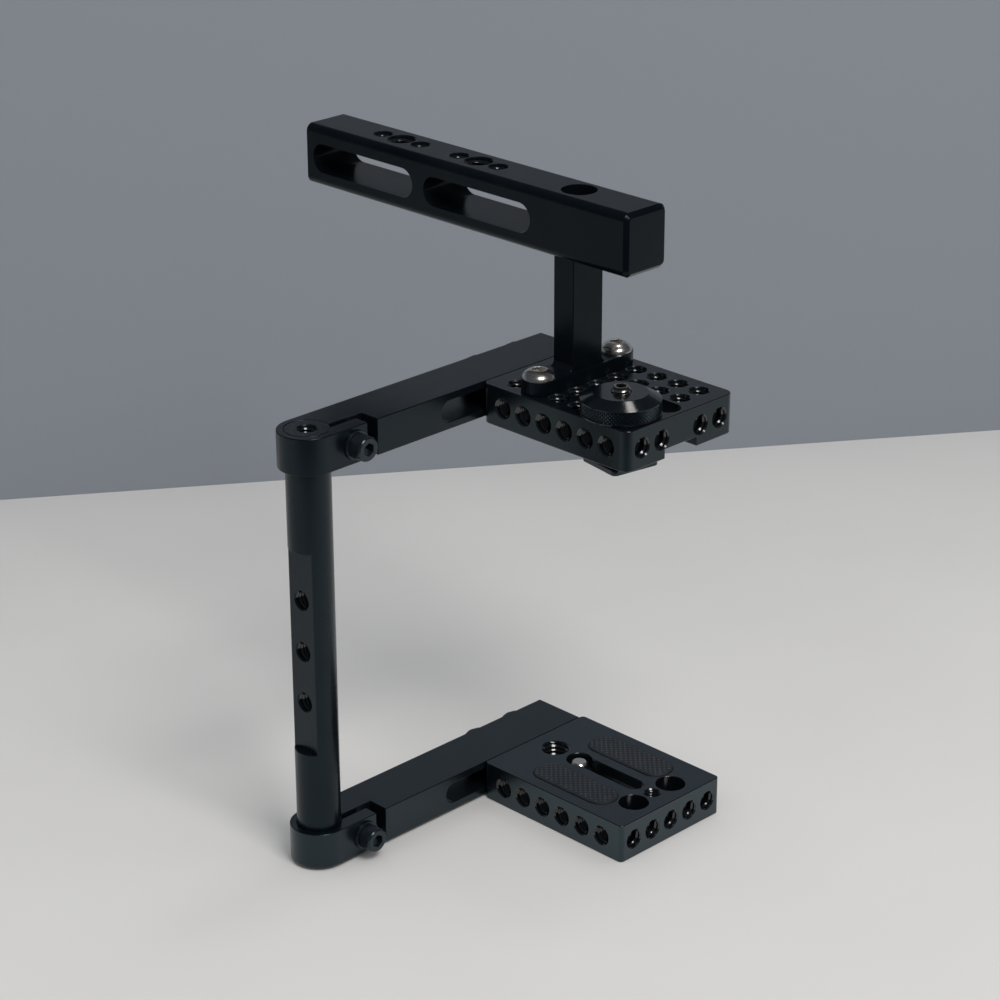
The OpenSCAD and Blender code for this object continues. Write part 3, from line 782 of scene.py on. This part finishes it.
def threads_in(name, holes, body, sizes, colours):
    """Ribs in all holes of one body. A hole is its mouth, its direction, its thread and its depth."""
    ribs = {}
    placed = []
    for mouth, into, thread, depth in holes:
        core, pitch, height = thread
        turns = max(1, int((depth - LEAD_IN) / pitch) - 1)
        if (thread, turns) not in ribs:
            ribs[thread, turns] = thread_rib(core, pitch, height, turns, True, sizes.thread_steps)
        placed.append(placed_copy(ribs[thread, turns], hole_matrix(mouth, into)))
    for rib in ribs.values():
        remove(rib)
    piece = joined(placed, name)
    smooth(piece, THREAD_SMOOTH)
    finish(piece, cut_finish(colours), body)


# Plates and pads


def plate_side_holes(node):
    """The holes in a plate's sides and end, the place of its first row, and its box."""
    low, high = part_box(node)
    mid_x, mid_y, mid_z = (low + high) / 2
    first = mid_y - (SIDE_HOLES - 1) / 2 * PITCH + ROW_SHIFT[node]
    holes = []
    for i in range(SIDE_HOLES):
        y = first + i * PITCH
        holes.append(((low.x, y, mid_z), (1, 0, 0), SMALL_THREAD, SIDE_HOLE_DEPTH))
        holes.append(((high.x, y, mid_z), (-1, 0, 0), SMALL_THREAD, SIDE_HOLE_DEPTH))
    for column in END_COLUMNS[node]:
        holes.append(((mid_x + column * PITCH, low.y, mid_z), (0, 1, 0), SMALL_THREAD, END_HOLE_DEPTH))
    return holes, Vector((mid_x, first, high.z)), low, high


class CAGE_OT_plates(bpy.types.Operator):
    """Finishes the base plate and the top plate, with the threads in their holes"""

    bl_idname = "cage.plates"
    bl_label = "Plates"

    def execute(self, context):
        sizes, colours = sizes_and_colours(context)
        for node, name, body in (("base_plate", "plate_base", "base"), ("top_plate", "plate_top", "top")):
            milled_node(node, name, anodised(node, colours), body, sizes, glossy=cut_finish(colours))

        holes, first, low, high = plate_side_holes("base_plate")
        holes.append(((first.x, high.y - LARGE_HOLE_INSET, high.z), DOWN, LARGE_THREAD, LARGE_HOLE_DEPTH))
        holes.append(((first.x, low.y + MID_HOLE_INSET, high.z), DOWN, MID_THREAD, MID_HOLE_DEPTH))
        threads_in("threads_base_plate", holes, "base", sizes, colours)

        holes, first, low, high = plate_side_holes("top_plate")
        for row, columns in enumerate(TOP_COLUMNS):
            for column in columns:
                mouth = (first.x + column * PITCH, first.y + row * PITCH, high.z)
                holes.append((mouth, DOWN, CROSS_THREAD, high.z - low.z))
        threads_in("threads_top_plate", holes, "top", sizes, colours)
        return {"FINISHED"}


class CAGE_OT_pads(bpy.types.Operator):
    """Moulds the two rubber pads with their grid of small square dots"""

    bl_idname = "cage.pads"
    bl_label = "Pads"

    def execute(self, context):
        sizes, colours = sizes_and_colours(context)
        material = pad_rubber("pad_rubber_finish", colours.rubber)
        # The upper half of each dot gets a paler rubber: a painted highlight where light catches the dot
        # tops
        painted_highlight = pad_rubber("pad_rubber_painted_highlight", shaded(colours.rubber, PAINTED_DOT_HIGHLIGHT))
        for side in ("left", "right"):
            node = f"base_pad_{side}"
            low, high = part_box(node)
            piece = dotted_pad(f"pad_{side}", low, high, sizes)
            finish(piece, material, "base", (node,))
            piece.data.materials.append(painted_highlight)
            # Faces above the middle of the dots take the painted highlight
            painted_highlight_z = high.z - sizes.dot_height / 2
            for face in piece.data.polygons:
                face.material_index = int(face.center.z > painted_highlight_z)
        return {"FINISHED"}


def dotted_pad(name, low, high, sizes):
    """A long pad with round ends, and square dots that stand on its face up to the CAD pad's top."""
    middle = (low + high) / 2
    radius = (high.x - low.x) / 2
    stretch = (high.y - low.y) / 2 - radius
    pad = upright_cylinder(
        name, radius, low.z, high.z - sizes.dot_height, PAD_PARTS, x=middle.x, y=middle.y)
    for vert in pad.data.vertices:
        if abs(vert.co.y - middle.y) > MERGE:
            vert.co.y += math.copysign(stretch, vert.co.y - middle.y)
    round_edges(pad, PAD_ROUND)
    smooth(pad)

    dot_depth = DOT_DEPTH_SHARE * sizes.dot_height
    deselect()
    bpy.ops.mesh.primitive_cone_add(
        vertices=4, radius1=DOT_FOOT_SHARE * sizes.dot_width, radius2=DOT_TOP_SHARE * sizes.dot_width,
        depth=dot_depth, end_fill_type="NGON")
    dot = named_active("dot")
    place_in_mesh(dot, Matrix.Translation((0, 0, high.z - dot_depth / 2)))
    step = sizes.dot_pitch / math.sqrt(2)
    count = int((stretch + radius) / step) + 1
    shape = bmesh.new()
    for row in range(-count, count + 1):
        for column in range(-count, count + 1):
            x, y = column * step, row * step
            beyond = max(abs(y) - stretch, 0)
            if (row + column) % 2 or math.hypot(x, beyond) > radius - DOT_MARGIN:
                continue
            start = len(shape.verts)
            shape.from_mesh(dot.data)
            shape.verts.ensure_lookup_table()
            bmesh.ops.translate(shape, verts=shape.verts[start:], vec=(middle.x + x, middle.y + y, 0))
    mesh = bpy.data.meshes.new("dots")
    shape.to_mesh(mesh)
    shape.free()
    remove(dot)
    dots = bpy.data.objects.new("dots", mesh)
    bpy.context.scene.collection.objects.link(dots)
    return joined([pad, dots], name)


# Arms, rod and handle


class CAGE_OT_arms(bpy.types.Operator):
    """Finishes the two slotted arms"""

    bl_idname = "cage.arms"
    bl_label = "Arms"

    def execute(self, context):
        sizes, colours = sizes_and_colours(context)
        for level in ("lower", "upper"):
            node = f"{level}_arm"
            milled_node(node, f"arm_{level}", anodised(node, colours), node, sizes)
        return {"FINISHED"}


class CAGE_OT_rod(bpy.types.Operator):
    """Finishes the round side rod, its flat and its threaded holes"""

    bl_idname = "cage.rod"
    bl_label = "Side rod"

    def execute(self, context):
        sizes, colours = sizes_and_colours(context)
        milled_node("side_rod", "rod", anodised("rod", colours), "rod", sizes)
        low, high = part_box("side_rod")
        holes = [((0, 0, high.z), DOWN, SMALL_THREAD, ROD_END_DEPTH),
                 ((0, 0, low.z), (0, 0, 1), SMALL_THREAD, ROD_END_DEPTH)]
        for i in (-1, 0, 1):
            mouth = (ROD_FLAT_X, 0, ROD_MID_HOLE_Z + i * ROD_HOLE_PITCH)
            holes.append((mouth, (1, 0, 0), SMALL_THREAD, ROD_HOLE_DEPTH))
        threads_in("threads_rod", holes, "rod", sizes, colours)
        return {"FINISHED"}


class CAGE_OT_handle(bpy.types.Operator):
    """Finishes the handle bar, its post and its threaded holes"""

    bl_idname = "cage.handle"
    bl_label = "Handle"

    def execute(self, context):
        sizes, colours = sizes_and_colours(context)
        material = anodised("handle", colours)
        milled_node("handle_bar", "handle", material, "top", sizes)
        milled_node("handle_post", "post", material, "top", sizes, POST_RUN)
        low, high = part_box("handle_bar")
        x = (low.x + high.x) / 2
        holes = []
        for group in HANDLE_GROUPS:
            y = axis_of("handle_post").y + group
            holes.append(((x, y, high.z), DOWN, LARGE_THREAD, HANDLE_WALL))
            for side in (-1, 1):
                holes.append(((x, y + side * PITCH, high.z), DOWN, SMALL_THREAD, HANDLE_WALL))
        threads_in("threads_handle", holes, "top", sizes, colours)
        return {"FINISHED"}


# Screws


def cap_screw(name, sizes, thread_d, shank, pitch, head_d, head_h):
    """A socket head cap screw: its head stands on z = 0, its threaded shank hangs down."""
    teeth = sizes.head_teeth
    chamfer = head_d * CHAMFER_SHARE
    head = upright_cylinder(name, head_d / 2, 0, head_h, 2 * teeth)
    cut_rings(head, (HEAD_FOOT_H, head_h - chamfer))
    for vert in head.data.vertices:
        spoke = round(math.atan2(vert.co.y, vert.co.x) / math.pi * teeth)
        if vert.co.z > head_h - MERGE:
            inset = chamfer
        elif vert.co.z < MERGE:
            inset = HEAD_FOOT_INSET
        else:
            inset = TOOTH_DEPTH if spoke % 2 else 0
        vert.co.x, vert.co.y = vert.co.xy.normalized() * (head_d / 2 - inset)
    socket_d = SOCKET_SHARE * thread_d / math.cos(math.pi / HEX)
    cut_socket(head, socket_d, head_h * SOCKET_DEPTH_SHARE, head_h)
    round_edges(head, sizes.small_round, steps=2)
    smooth(head)

    core = thread_d - THREAD_DEPTH_SHARE * pitch
    body = plain_shank(core / 2, -shank, head_h * SHANK_LAP_SHARE)
    turns = int(shank / pitch) - 2
    rib = outer_rib(core, thread_d, pitch, turns, SCREW_RIB_STEPS, pitch / 2 - shank)
    return joined([head, body, rib], name)


class CAGE_OT_black_screws(bpy.types.Operator):
    """Makes the black cap screws and finishes their washers and the camera screw's keeper"""

    bl_idname = "cage.black_screws"
    bl_label = "Black screws"

    def execute(self, context):
        sizes, colours = sizes_and_colours(context)
        material = black_oxide(colours)
        screw = cap_screw("clamp_screw", sizes, **CLAMP_SCREW)
        for level in ("lower", "upper"):
            node = f"{level}_clamp_screw"
            self.seat(screw, CLAMP_SCREW, HEAD_TO_FRONT, node, f"{level}_clamp_cap_screw", node, material)
        remove(screw)
        screw = cap_screw("slide_screw", sizes, **SLIDE_SCREW)
        for level in ("lower", "upper"):
            for place in ("inner", "outer"):
                node = f"{level}_slide_screw_{place}"
                name, body = f"{level}_{place}_cap_screw", f"{level}_{place}_screw"
                self.seat(screw, SLIDE_SCREW, HEAD_TO_BACK, node, name, body, material)
        remove(screw)
        for node, body in (("lower_clamp_washer", "lower_arm"), ("upper_clamp_washer", "upper_arm"),
                           ("lower_slide_washers", "base"), ("upper_slide_washers", "top"),
                           ("camera_screw_retainer", "screw_retainer")):
            small_node(node, f"{node}_finished", material, body, sizes)
        return {"FINISHED"}

    def seat(self, screw, screw_sizes, turn, node, name, body, material):
        """A copy of a screw in a CAD screw's place, laid along Y with its tip at the node's far end."""
        low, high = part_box(node)
        shank = screw_sizes["shank"]
        seat_y = high.y - shank if turn == HEAD_TO_FRONT else low.y + shank
        place = Matrix.Translation(((low.x + high.x) / 2, seat_y, (low.z + high.z) / 2))
        piece = placed_copy(screw, place @ Matrix.Rotation(turn, 4, "X"))
        piece.name = name
        finish(piece, material, body, (node,))


def button_screw(low, high):
    """A button head screw on the Z axis, between two heights: a dome with a hex socket, and its shank."""
    radius = (high.y - low.y) / 2
    seat = high.z - BUTTON_HEAD_H
    wall_top = seat + BUTTON_WALL_H
    flat = BUTTON_SOCKET_D / 2 + BUTTON_TOP_RING
    rise = BUTTON_HEAD_H - BUTTON_WALL_H
    full = math.sqrt(1 - (flat / radius) ** 2)
    profile = [(0, seat), (radius - BUTTON_FOOT_ROUND, seat), (radius, seat + BUTTON_FOOT_ROUND),
               (radius, wall_top)]
    for i in range(1, DOME_STEPS + 1):
        across = flat + (radius - flat) * math.cos(i / DOME_STEPS * math.pi / 2)
        profile.append((across, wall_top + rise * math.sqrt(1 - (across / radius) ** 2) / full))
    profile.append((0, high.z))
    head = turned_profile("button_screw", profile, BUTTON_PARTS)
    cut_socket(head, BUTTON_SOCKET_D, high.z - BUTTON_SOCKET_DEPTH, high.z)
    round_edges(head, BUTTON_ROUND, steps=1)
    outward_normals(head)
    smooth(head)
    shank = plain_shank(BUTTON_THREAD_D / 2, low.z, seat + BUTTON_SHANK_LAP)
    return joined([head, shank], "button_screw")


class CAGE_OT_bright_screws(bpy.types.Operator):
    """Makes the bright button screws, and finishes the handle's bolt and the camera screw"""

    bl_idname = "cage.bright_screws"
    bl_label = "Bright screws"

    def execute(self, context):
        sizes, bright = context.scene.cage_sizes, context.scene.cage_colours.bright_steel
        pale = shaded(bright, BRIGHT_PALER)
        spread = 2 * PITCH
        middle = axis_of("handle_foot_screws")
        material = turned_metal("bright_button", bright, pale, GLOSS["button"], 1.0, middle, spread)
        screw = button_screw(*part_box("handle_foot_screws"))
        pair = [placed_copy(screw, Matrix.Translation(middle + Vector((side * spread, 0, 0))))
                for side in (-1, 1)]
        remove(screw)
        finish(joined(pair, "button_screws"), material, "top", ("handle_foot_screws",))
        screws = (("handle_bolt", "bolt", "post_bolt", "top"),
                  ("camera_screw", "camera_screw", "camera_screw_finished", "camera_screw"))
        for node, look, name, body in screws:
            material = turned_metal(f"bright_{look}", bright, pale, GLOSS[look], 1.0, axis_of(node))
            small_node(node, name, material, body, sizes)
        return {"FINISHED"}


# Shoe adapter


def knurled_band(name, sizes):
    """A closed ring round the knob's rim, its outside cut into diamonds by crossing grooves."""
    band_low, band_high = KNOB_BAND
    step = (band_high - band_low) / KNURL_ROWS
    groove = KNOB_RIM_D / 2 - sizes.knurl_depth
    band = upright_cylinder(name, KNOB_RIM_D / 2, band_low, band_high, 2 * sizes.knurl_count, "NOTHING")
    cut_rings(band, [band_low + i * step for i in range(1, KNURL_ROWS)])
    shape = bmesh.new()
    shape.from_mesh(band.data)
    valleys = []
    for vert in shape.verts:
        spoke = round(math.atan2(vert.co.y, vert.co.x) / math.pi * sizes.knurl_count)
        row = round((vert.co.z - band_low) / step)
        if (spoke + row) % 2:
            vert.co.x, vert.co.y = vert.co.xy.normalized() * groove
            valleys.append(vert)
    bmesh.ops.connect_verts(shape, verts=valleys)
    ends = [e for e in shape.edges if e.is_boundary]
    wall = bmesh.ops.extrude_edge_only(shape, edges=ends)["geom"]
    for vert in (v for v in wall if isinstance(v, bmesh.types.BMVert)):
        vert.co.x, vert.co.y = vert.co.xy.normalized() * (groove - sizes.knurl_depth)
    bmesh.ops.bridge_loops(shape, edges=[e for e in shape.edges if e.is_boundary])
    bmesh.ops.recalc_face_normals(shape, faces=shape.faces)
    shape.to_mesh(band.data)
    shape.free()
    band.data.shade_flat()
    return band


def turned_knob(name, low, high, sizes):
    """The knob: a smooth foot, a diamond-knurled rim, a cone and a flat top with the stud's bore."""
    band = knurled_band(name, sizes)
    band_low, band_high = KNOB_BAND
    rim, top, bore = KNOB_RIM_D / 2, KNOB_TOP_D / 2, KNOB_BORE / 2
    height = high.z - low.z
    profile = (
        (bore, 0), (rim - FOOT_ROUND, 0), (rim - FOOT_TURN, FOOT_TURN), (rim, FOOT_ROUND),
        (rim, band_low - BAND_SLOPE), (rim - BAND_SINK, band_low + BAND_LAP),
        (rim - BAND_SINK, band_high - BAND_LAP), (rim - LIP_INSET, band_high + LIP_FOOT),
        (rim - LIP_INSET, KNOB_RIM_H - LIP_ROUND), (rim - RIM_CHAMFER, KNOB_RIM_H),
        (top + CONE_INSET, height - CONE_DROP), (top - TOP_INSET, height),
        (bore + BORE_CHAMFER, height), (bore, height - BORE_CHAMFER))
    core = turned_profile("core", profile, KNOB_PARTS)
    smooth(core, TURNED_SMOOTH)
    piece = joined([band, core], name)
    middle = (low + high) / 2
    place_in_mesh(piece, Matrix.Translation((middle.x, middle.y, low.z)))
    return piece


def threaded_stud(name, low, high):
    """The stud: a threaded core with a hex socket in its top."""
    length = high.z - low.z
    core = upright_cylinder(name, STUD_CORE_D / 2, 0, length, STUD_PARTS)
    cut_socket(core, STUD_SOCKET_D, length - STUD_SOCKET_DEPTH, length)
    round_edges(core, STUD_ROUND, steps=2)
    smooth(core)
    thread_d, pitch = SMALL_THREAD[:2]
    turns = int(length / pitch) - 1
    foot = length - (turns + 1) * pitch - STUD_TIP
    rib = outer_rib(STUD_CORE_D, thread_d - STUD_PLAY, pitch, turns, STUD_RIB_STEPS, foot)
    piece = joined([core, rib], name)
    middle = (low + high) / 2
    place_in_mesh(piece, Matrix.Translation((middle.x, middle.y, low.z)))
    return piece


class CAGE_OT_shoe_adapter(bpy.types.Operator):
    """Turns the knurled knob and the threaded stud, and finishes the shoe foot"""

    bl_idname = "cage.shoe_adapter"
    bl_label = "Shoe adapter"

    def execute(self, context):
        sizes, colours = sizes_and_colours(context)
        middle = axis_of("shoe_knob")
        material = turned_metal("anodised_knob", colours.anodised, colours.anodised_light,
                                GLOSS["knob"], 0.0, middle, relief=KNOB_RELIEF)
        piece = turned_knob("knob", *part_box("shoe_knob"), sizes)
        finish(piece, material, "knob", ("shoe_knob",))
        piece.data.materials.append(anodised("knurl", colours))
        for face in piece.data.polygons:
            face.material_index = int(not face.use_smooth)

        grey = shaded(colours.bright_steel, STUD_SHADE)
        material = turned_metal("stud_steel", grey, shaded(grey, STUD_PALER), GLOSS["stud"], 1.0, middle)
        stud = threaded_stud("stud", *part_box("shoe_stud"))
        finish(stud, material, "stud", ("shoe_stud",))

        rounded_node("shoe_foot", "foot", black_oxide(colours), "shoe_foot",
                     SHOE_ROUND, steps=sizes.round_steps)
        return {"FINISHED"}


# Stage


def axes_at(place, x_axis, y_axis, z_axis):
    """A matrix that puts an object at a place, with its own axes along three directions."""
    return Matrix.Translation(place) @ Matrix((x_axis, y_axis, z_axis)).transposed().to_4x4()


def make_matt(shader, values):
    shader.inputs["Roughness"].default_value, shader.inputs["Specular IOR Level"].default_value = values


def stage_floor(colours):
    """A pale table top whose front edge is just outside the picture."""
    deselect()
    bpy.ops.mesh.primitive_plane_add(size=TABLE_SIDE)
    floor = named_active("floor")
    towards = Vector((CAMERA_PLACE.x, CAMERA_PLACE.y, 0)).normalized()
    middle = towards * (TABLE_EDGE - TABLE_SIDE / 2)
    place_in_mesh(floor, axes_at(middle, towards, UP.cross(towards), UP))
    material, tree, shader = new_material("pale_floor")
    cloud = noise(tree, object_coords(tree), FLOOR_CLOUD)
    colour = clouded(tree, cloud, colours.floor, shaded(colours.floor, FLOOR_PALER))
    tree.links.new(colour, shader.inputs["Base Color"])
    make_matt(shader, TABLE_MATT)
    floor.data.materials.append(material)


def stage_wall(colours):
    """A wall that shows only from its front, so that the part can be looked at from behind."""
    first, second = WALL_FOOT
    facing = (second - first).normalized().cross(UP)
    deselect()
    bpy.ops.mesh.primitive_plane_add(size=1)
    wall = named_active("wall")
    place_in_mesh(wall, Matrix.Diagonal((WALL_WIDTH, 2 * WALL_HEIGHT, 1, 1)))
    wall.matrix_world = axes_at((first + second) / 2, UP.cross(facing), UP, facing)
    material, tree, shader = new_material("grey_wall")
    shader.inputs["Base Color"].default_value = (*colours.wall, 1)
    make_matt(shader, WALL_MATT)
    clear = tree.nodes.new("ShaderNodeBsdfTransparent")
    side = tree.nodes.new("ShaderNodeNewGeometry")
    out = tree.nodes["Material Output"]
    mix_shaders(tree, side.outputs["Backfacing"], shader, clear, out)
    wall.data.materials.append(material)


def mix_shaders(tree, factor, first, second, out):
    mix = tree.nodes.new("ShaderNodeMixShader")
    for value, socket in zip((factor, first.outputs[0], second.outputs[0]), mix.inputs):
        tree.links.new(value, socket)
    tree.links.new(mix.outputs[0], out.inputs["Surface"])


def room_light(studio, colours):
    """The room: soft light that is stronger from above, and a grey backdrop for the camera."""
    world = bpy.data.worlds.new("room")
    bpy.context.scene.world = world
    world.use_nodes = True
    tree = world.node_tree
    tree.nodes.clear()
    coords = tree.nodes.new("ShaderNodeTexCoord")
    split = tree.nodes.new("ShaderNodeSeparateXYZ")
    tree.links.new(coords.outputs["Generated"], split.inputs["Vector"])
    strength = remap(tree, split.outputs["Z"], (studio.sky_side, studio.sky_top), SKY_RISE)
    light = tree.nodes.new("ShaderNodeBackground")
    light.inputs["Color"].default_value = (*ROOM_TINT, 1)
    tree.links.new(strength, light.inputs["Strength"])
    seen = tree.nodes.new("ShaderNodeBackground")
    seen.inputs["Color"].default_value = (*colours.backdrop, 1)
    path = tree.nodes.new("ShaderNodeLightPath")
    mirrored = math_node(tree, "MAXIMUM", path.outputs["Is Glossy Ray"], path.outputs["Is Transmission Ray"])
    shown = math_node(tree, "MAXIMUM", path.outputs["Is Camera Ray"], mirrored)
    mix_shaders(tree, shown, light, seen, tree.nodes.new("ShaderNodeOutputWorld"))


def soft_box(name, place, size, power):
    data = bpy.data.lights.new(name, "AREA")
    data.shape = "SQUARE"
    data.size = size
    data.energy = power
    data.color = LAMP_TINT
    lamp = bpy.data.objects.new(name, data)
    lamp.location = place
    lamp.rotation_mode = "QUATERNION"
    lamp.rotation_quaternion = (LAMP_AIM - place).to_track_quat("-Z", "Y")
    bpy.context.scene.collection.objects.link(lamp)


def photo_camera(studio):
    data = bpy.data.cameras.new("camera")
    data.sensor_width = SENSOR_WIDTH
    data.lens = studio.lens
    data.clip_start, data.clip_end = CLIP
    camera = bpy.data.objects.new("camera", data)
    up = -CAMERA_DOWN
    camera.matrix_world = axes_at(CAMERA_PLACE, CAMERA_RIGHT, up, CAMERA_RIGHT.cross(up))
    bpy.context.scene.collection.objects.link(camera)
    bpy.context.scene.camera = camera


class CAGE_OT_stage(bpy.types.Operator):
    """Sets the floor, the wall, the lamps and the camera"""

    bl_idname = "cage.stage"
    bl_label = "Stage"

    def execute(self, context):
        colours, studio = context.scene.cage_colours, context.scene.cage_studio
        stage_floor(colours)
        stage_wall(colours)
        room_light(studio, colours)
        soft_box("front_lamp", KEY_PLACE, studio.key_size, studio.key_power)
        soft_box("top_lamp", TOP_PLACE, studio.top_size, studio.top_power)
        photo_camera(studio)
        context.scene.view_settings.view_transform = "Standard"
        return {"FINISHED"}


STEPS = (CAGE_OT_plates, CAGE_OT_pads, CAGE_OT_arms, CAGE_OT_rod, CAGE_OT_handle, CAGE_OT_black_screws,
         CAGE_OT_bright_screws, CAGE_OT_shoe_adapter, CAGE_OT_stage)


class CAGE_PT_panel(bpy.types.Panel):
    """Lists the steps and their sizes, colours and lamps"""

    bl_idname = "CAGE_PT_panel"
    bl_label = "Camera cage"
    bl_space_type = "VIEW_3D"
    bl_region_type = "UI"
    bl_category = "Cage"

    def draw(self, context):
        for step in STEPS:
            self.layout.operator(step.bl_idname)
        for group in (context.scene.cage_sizes, context.scene.cage_colours, context.scene.cage_studio):
            for name in group.bl_rna.properties.keys():
                if name not in ("rna_type", "name"):
                    self.layout.prop(group, name)


GROUPS = {"cage_sizes": CageSizes, "cage_colours": CageColours, "cage_studio": CageStudio}
CLASSES = (*GROUPS.values(), *STEPS, CAGE_PT_panel)


def register():
    for each in CLASSES:
        bpy.utils.register_class(each)
    for name, group in GROUPS.items():
        setattr(bpy.types.Scene, name, PointerProperty(type=group))


def unregister():
    for name in GROUPS:
        delattr(bpy.types.Scene, name)
    for each in reversed(CLASSES):
        bpy.utils.unregister_class(each)


def main():
    register()
    bpy.ops.cage.plates()
    bpy.ops.cage.pads()
    bpy.ops.cage.arms()
    bpy.ops.cage.rod()
    bpy.ops.cage.handle()
    bpy.ops.cage.black_screws()
    bpy.ops.cage.bright_screws()
    bpy.ops.cage.shoe_adapter()
    bpy.ops.cage.stage()


if __name__ == "__main__":
    main()
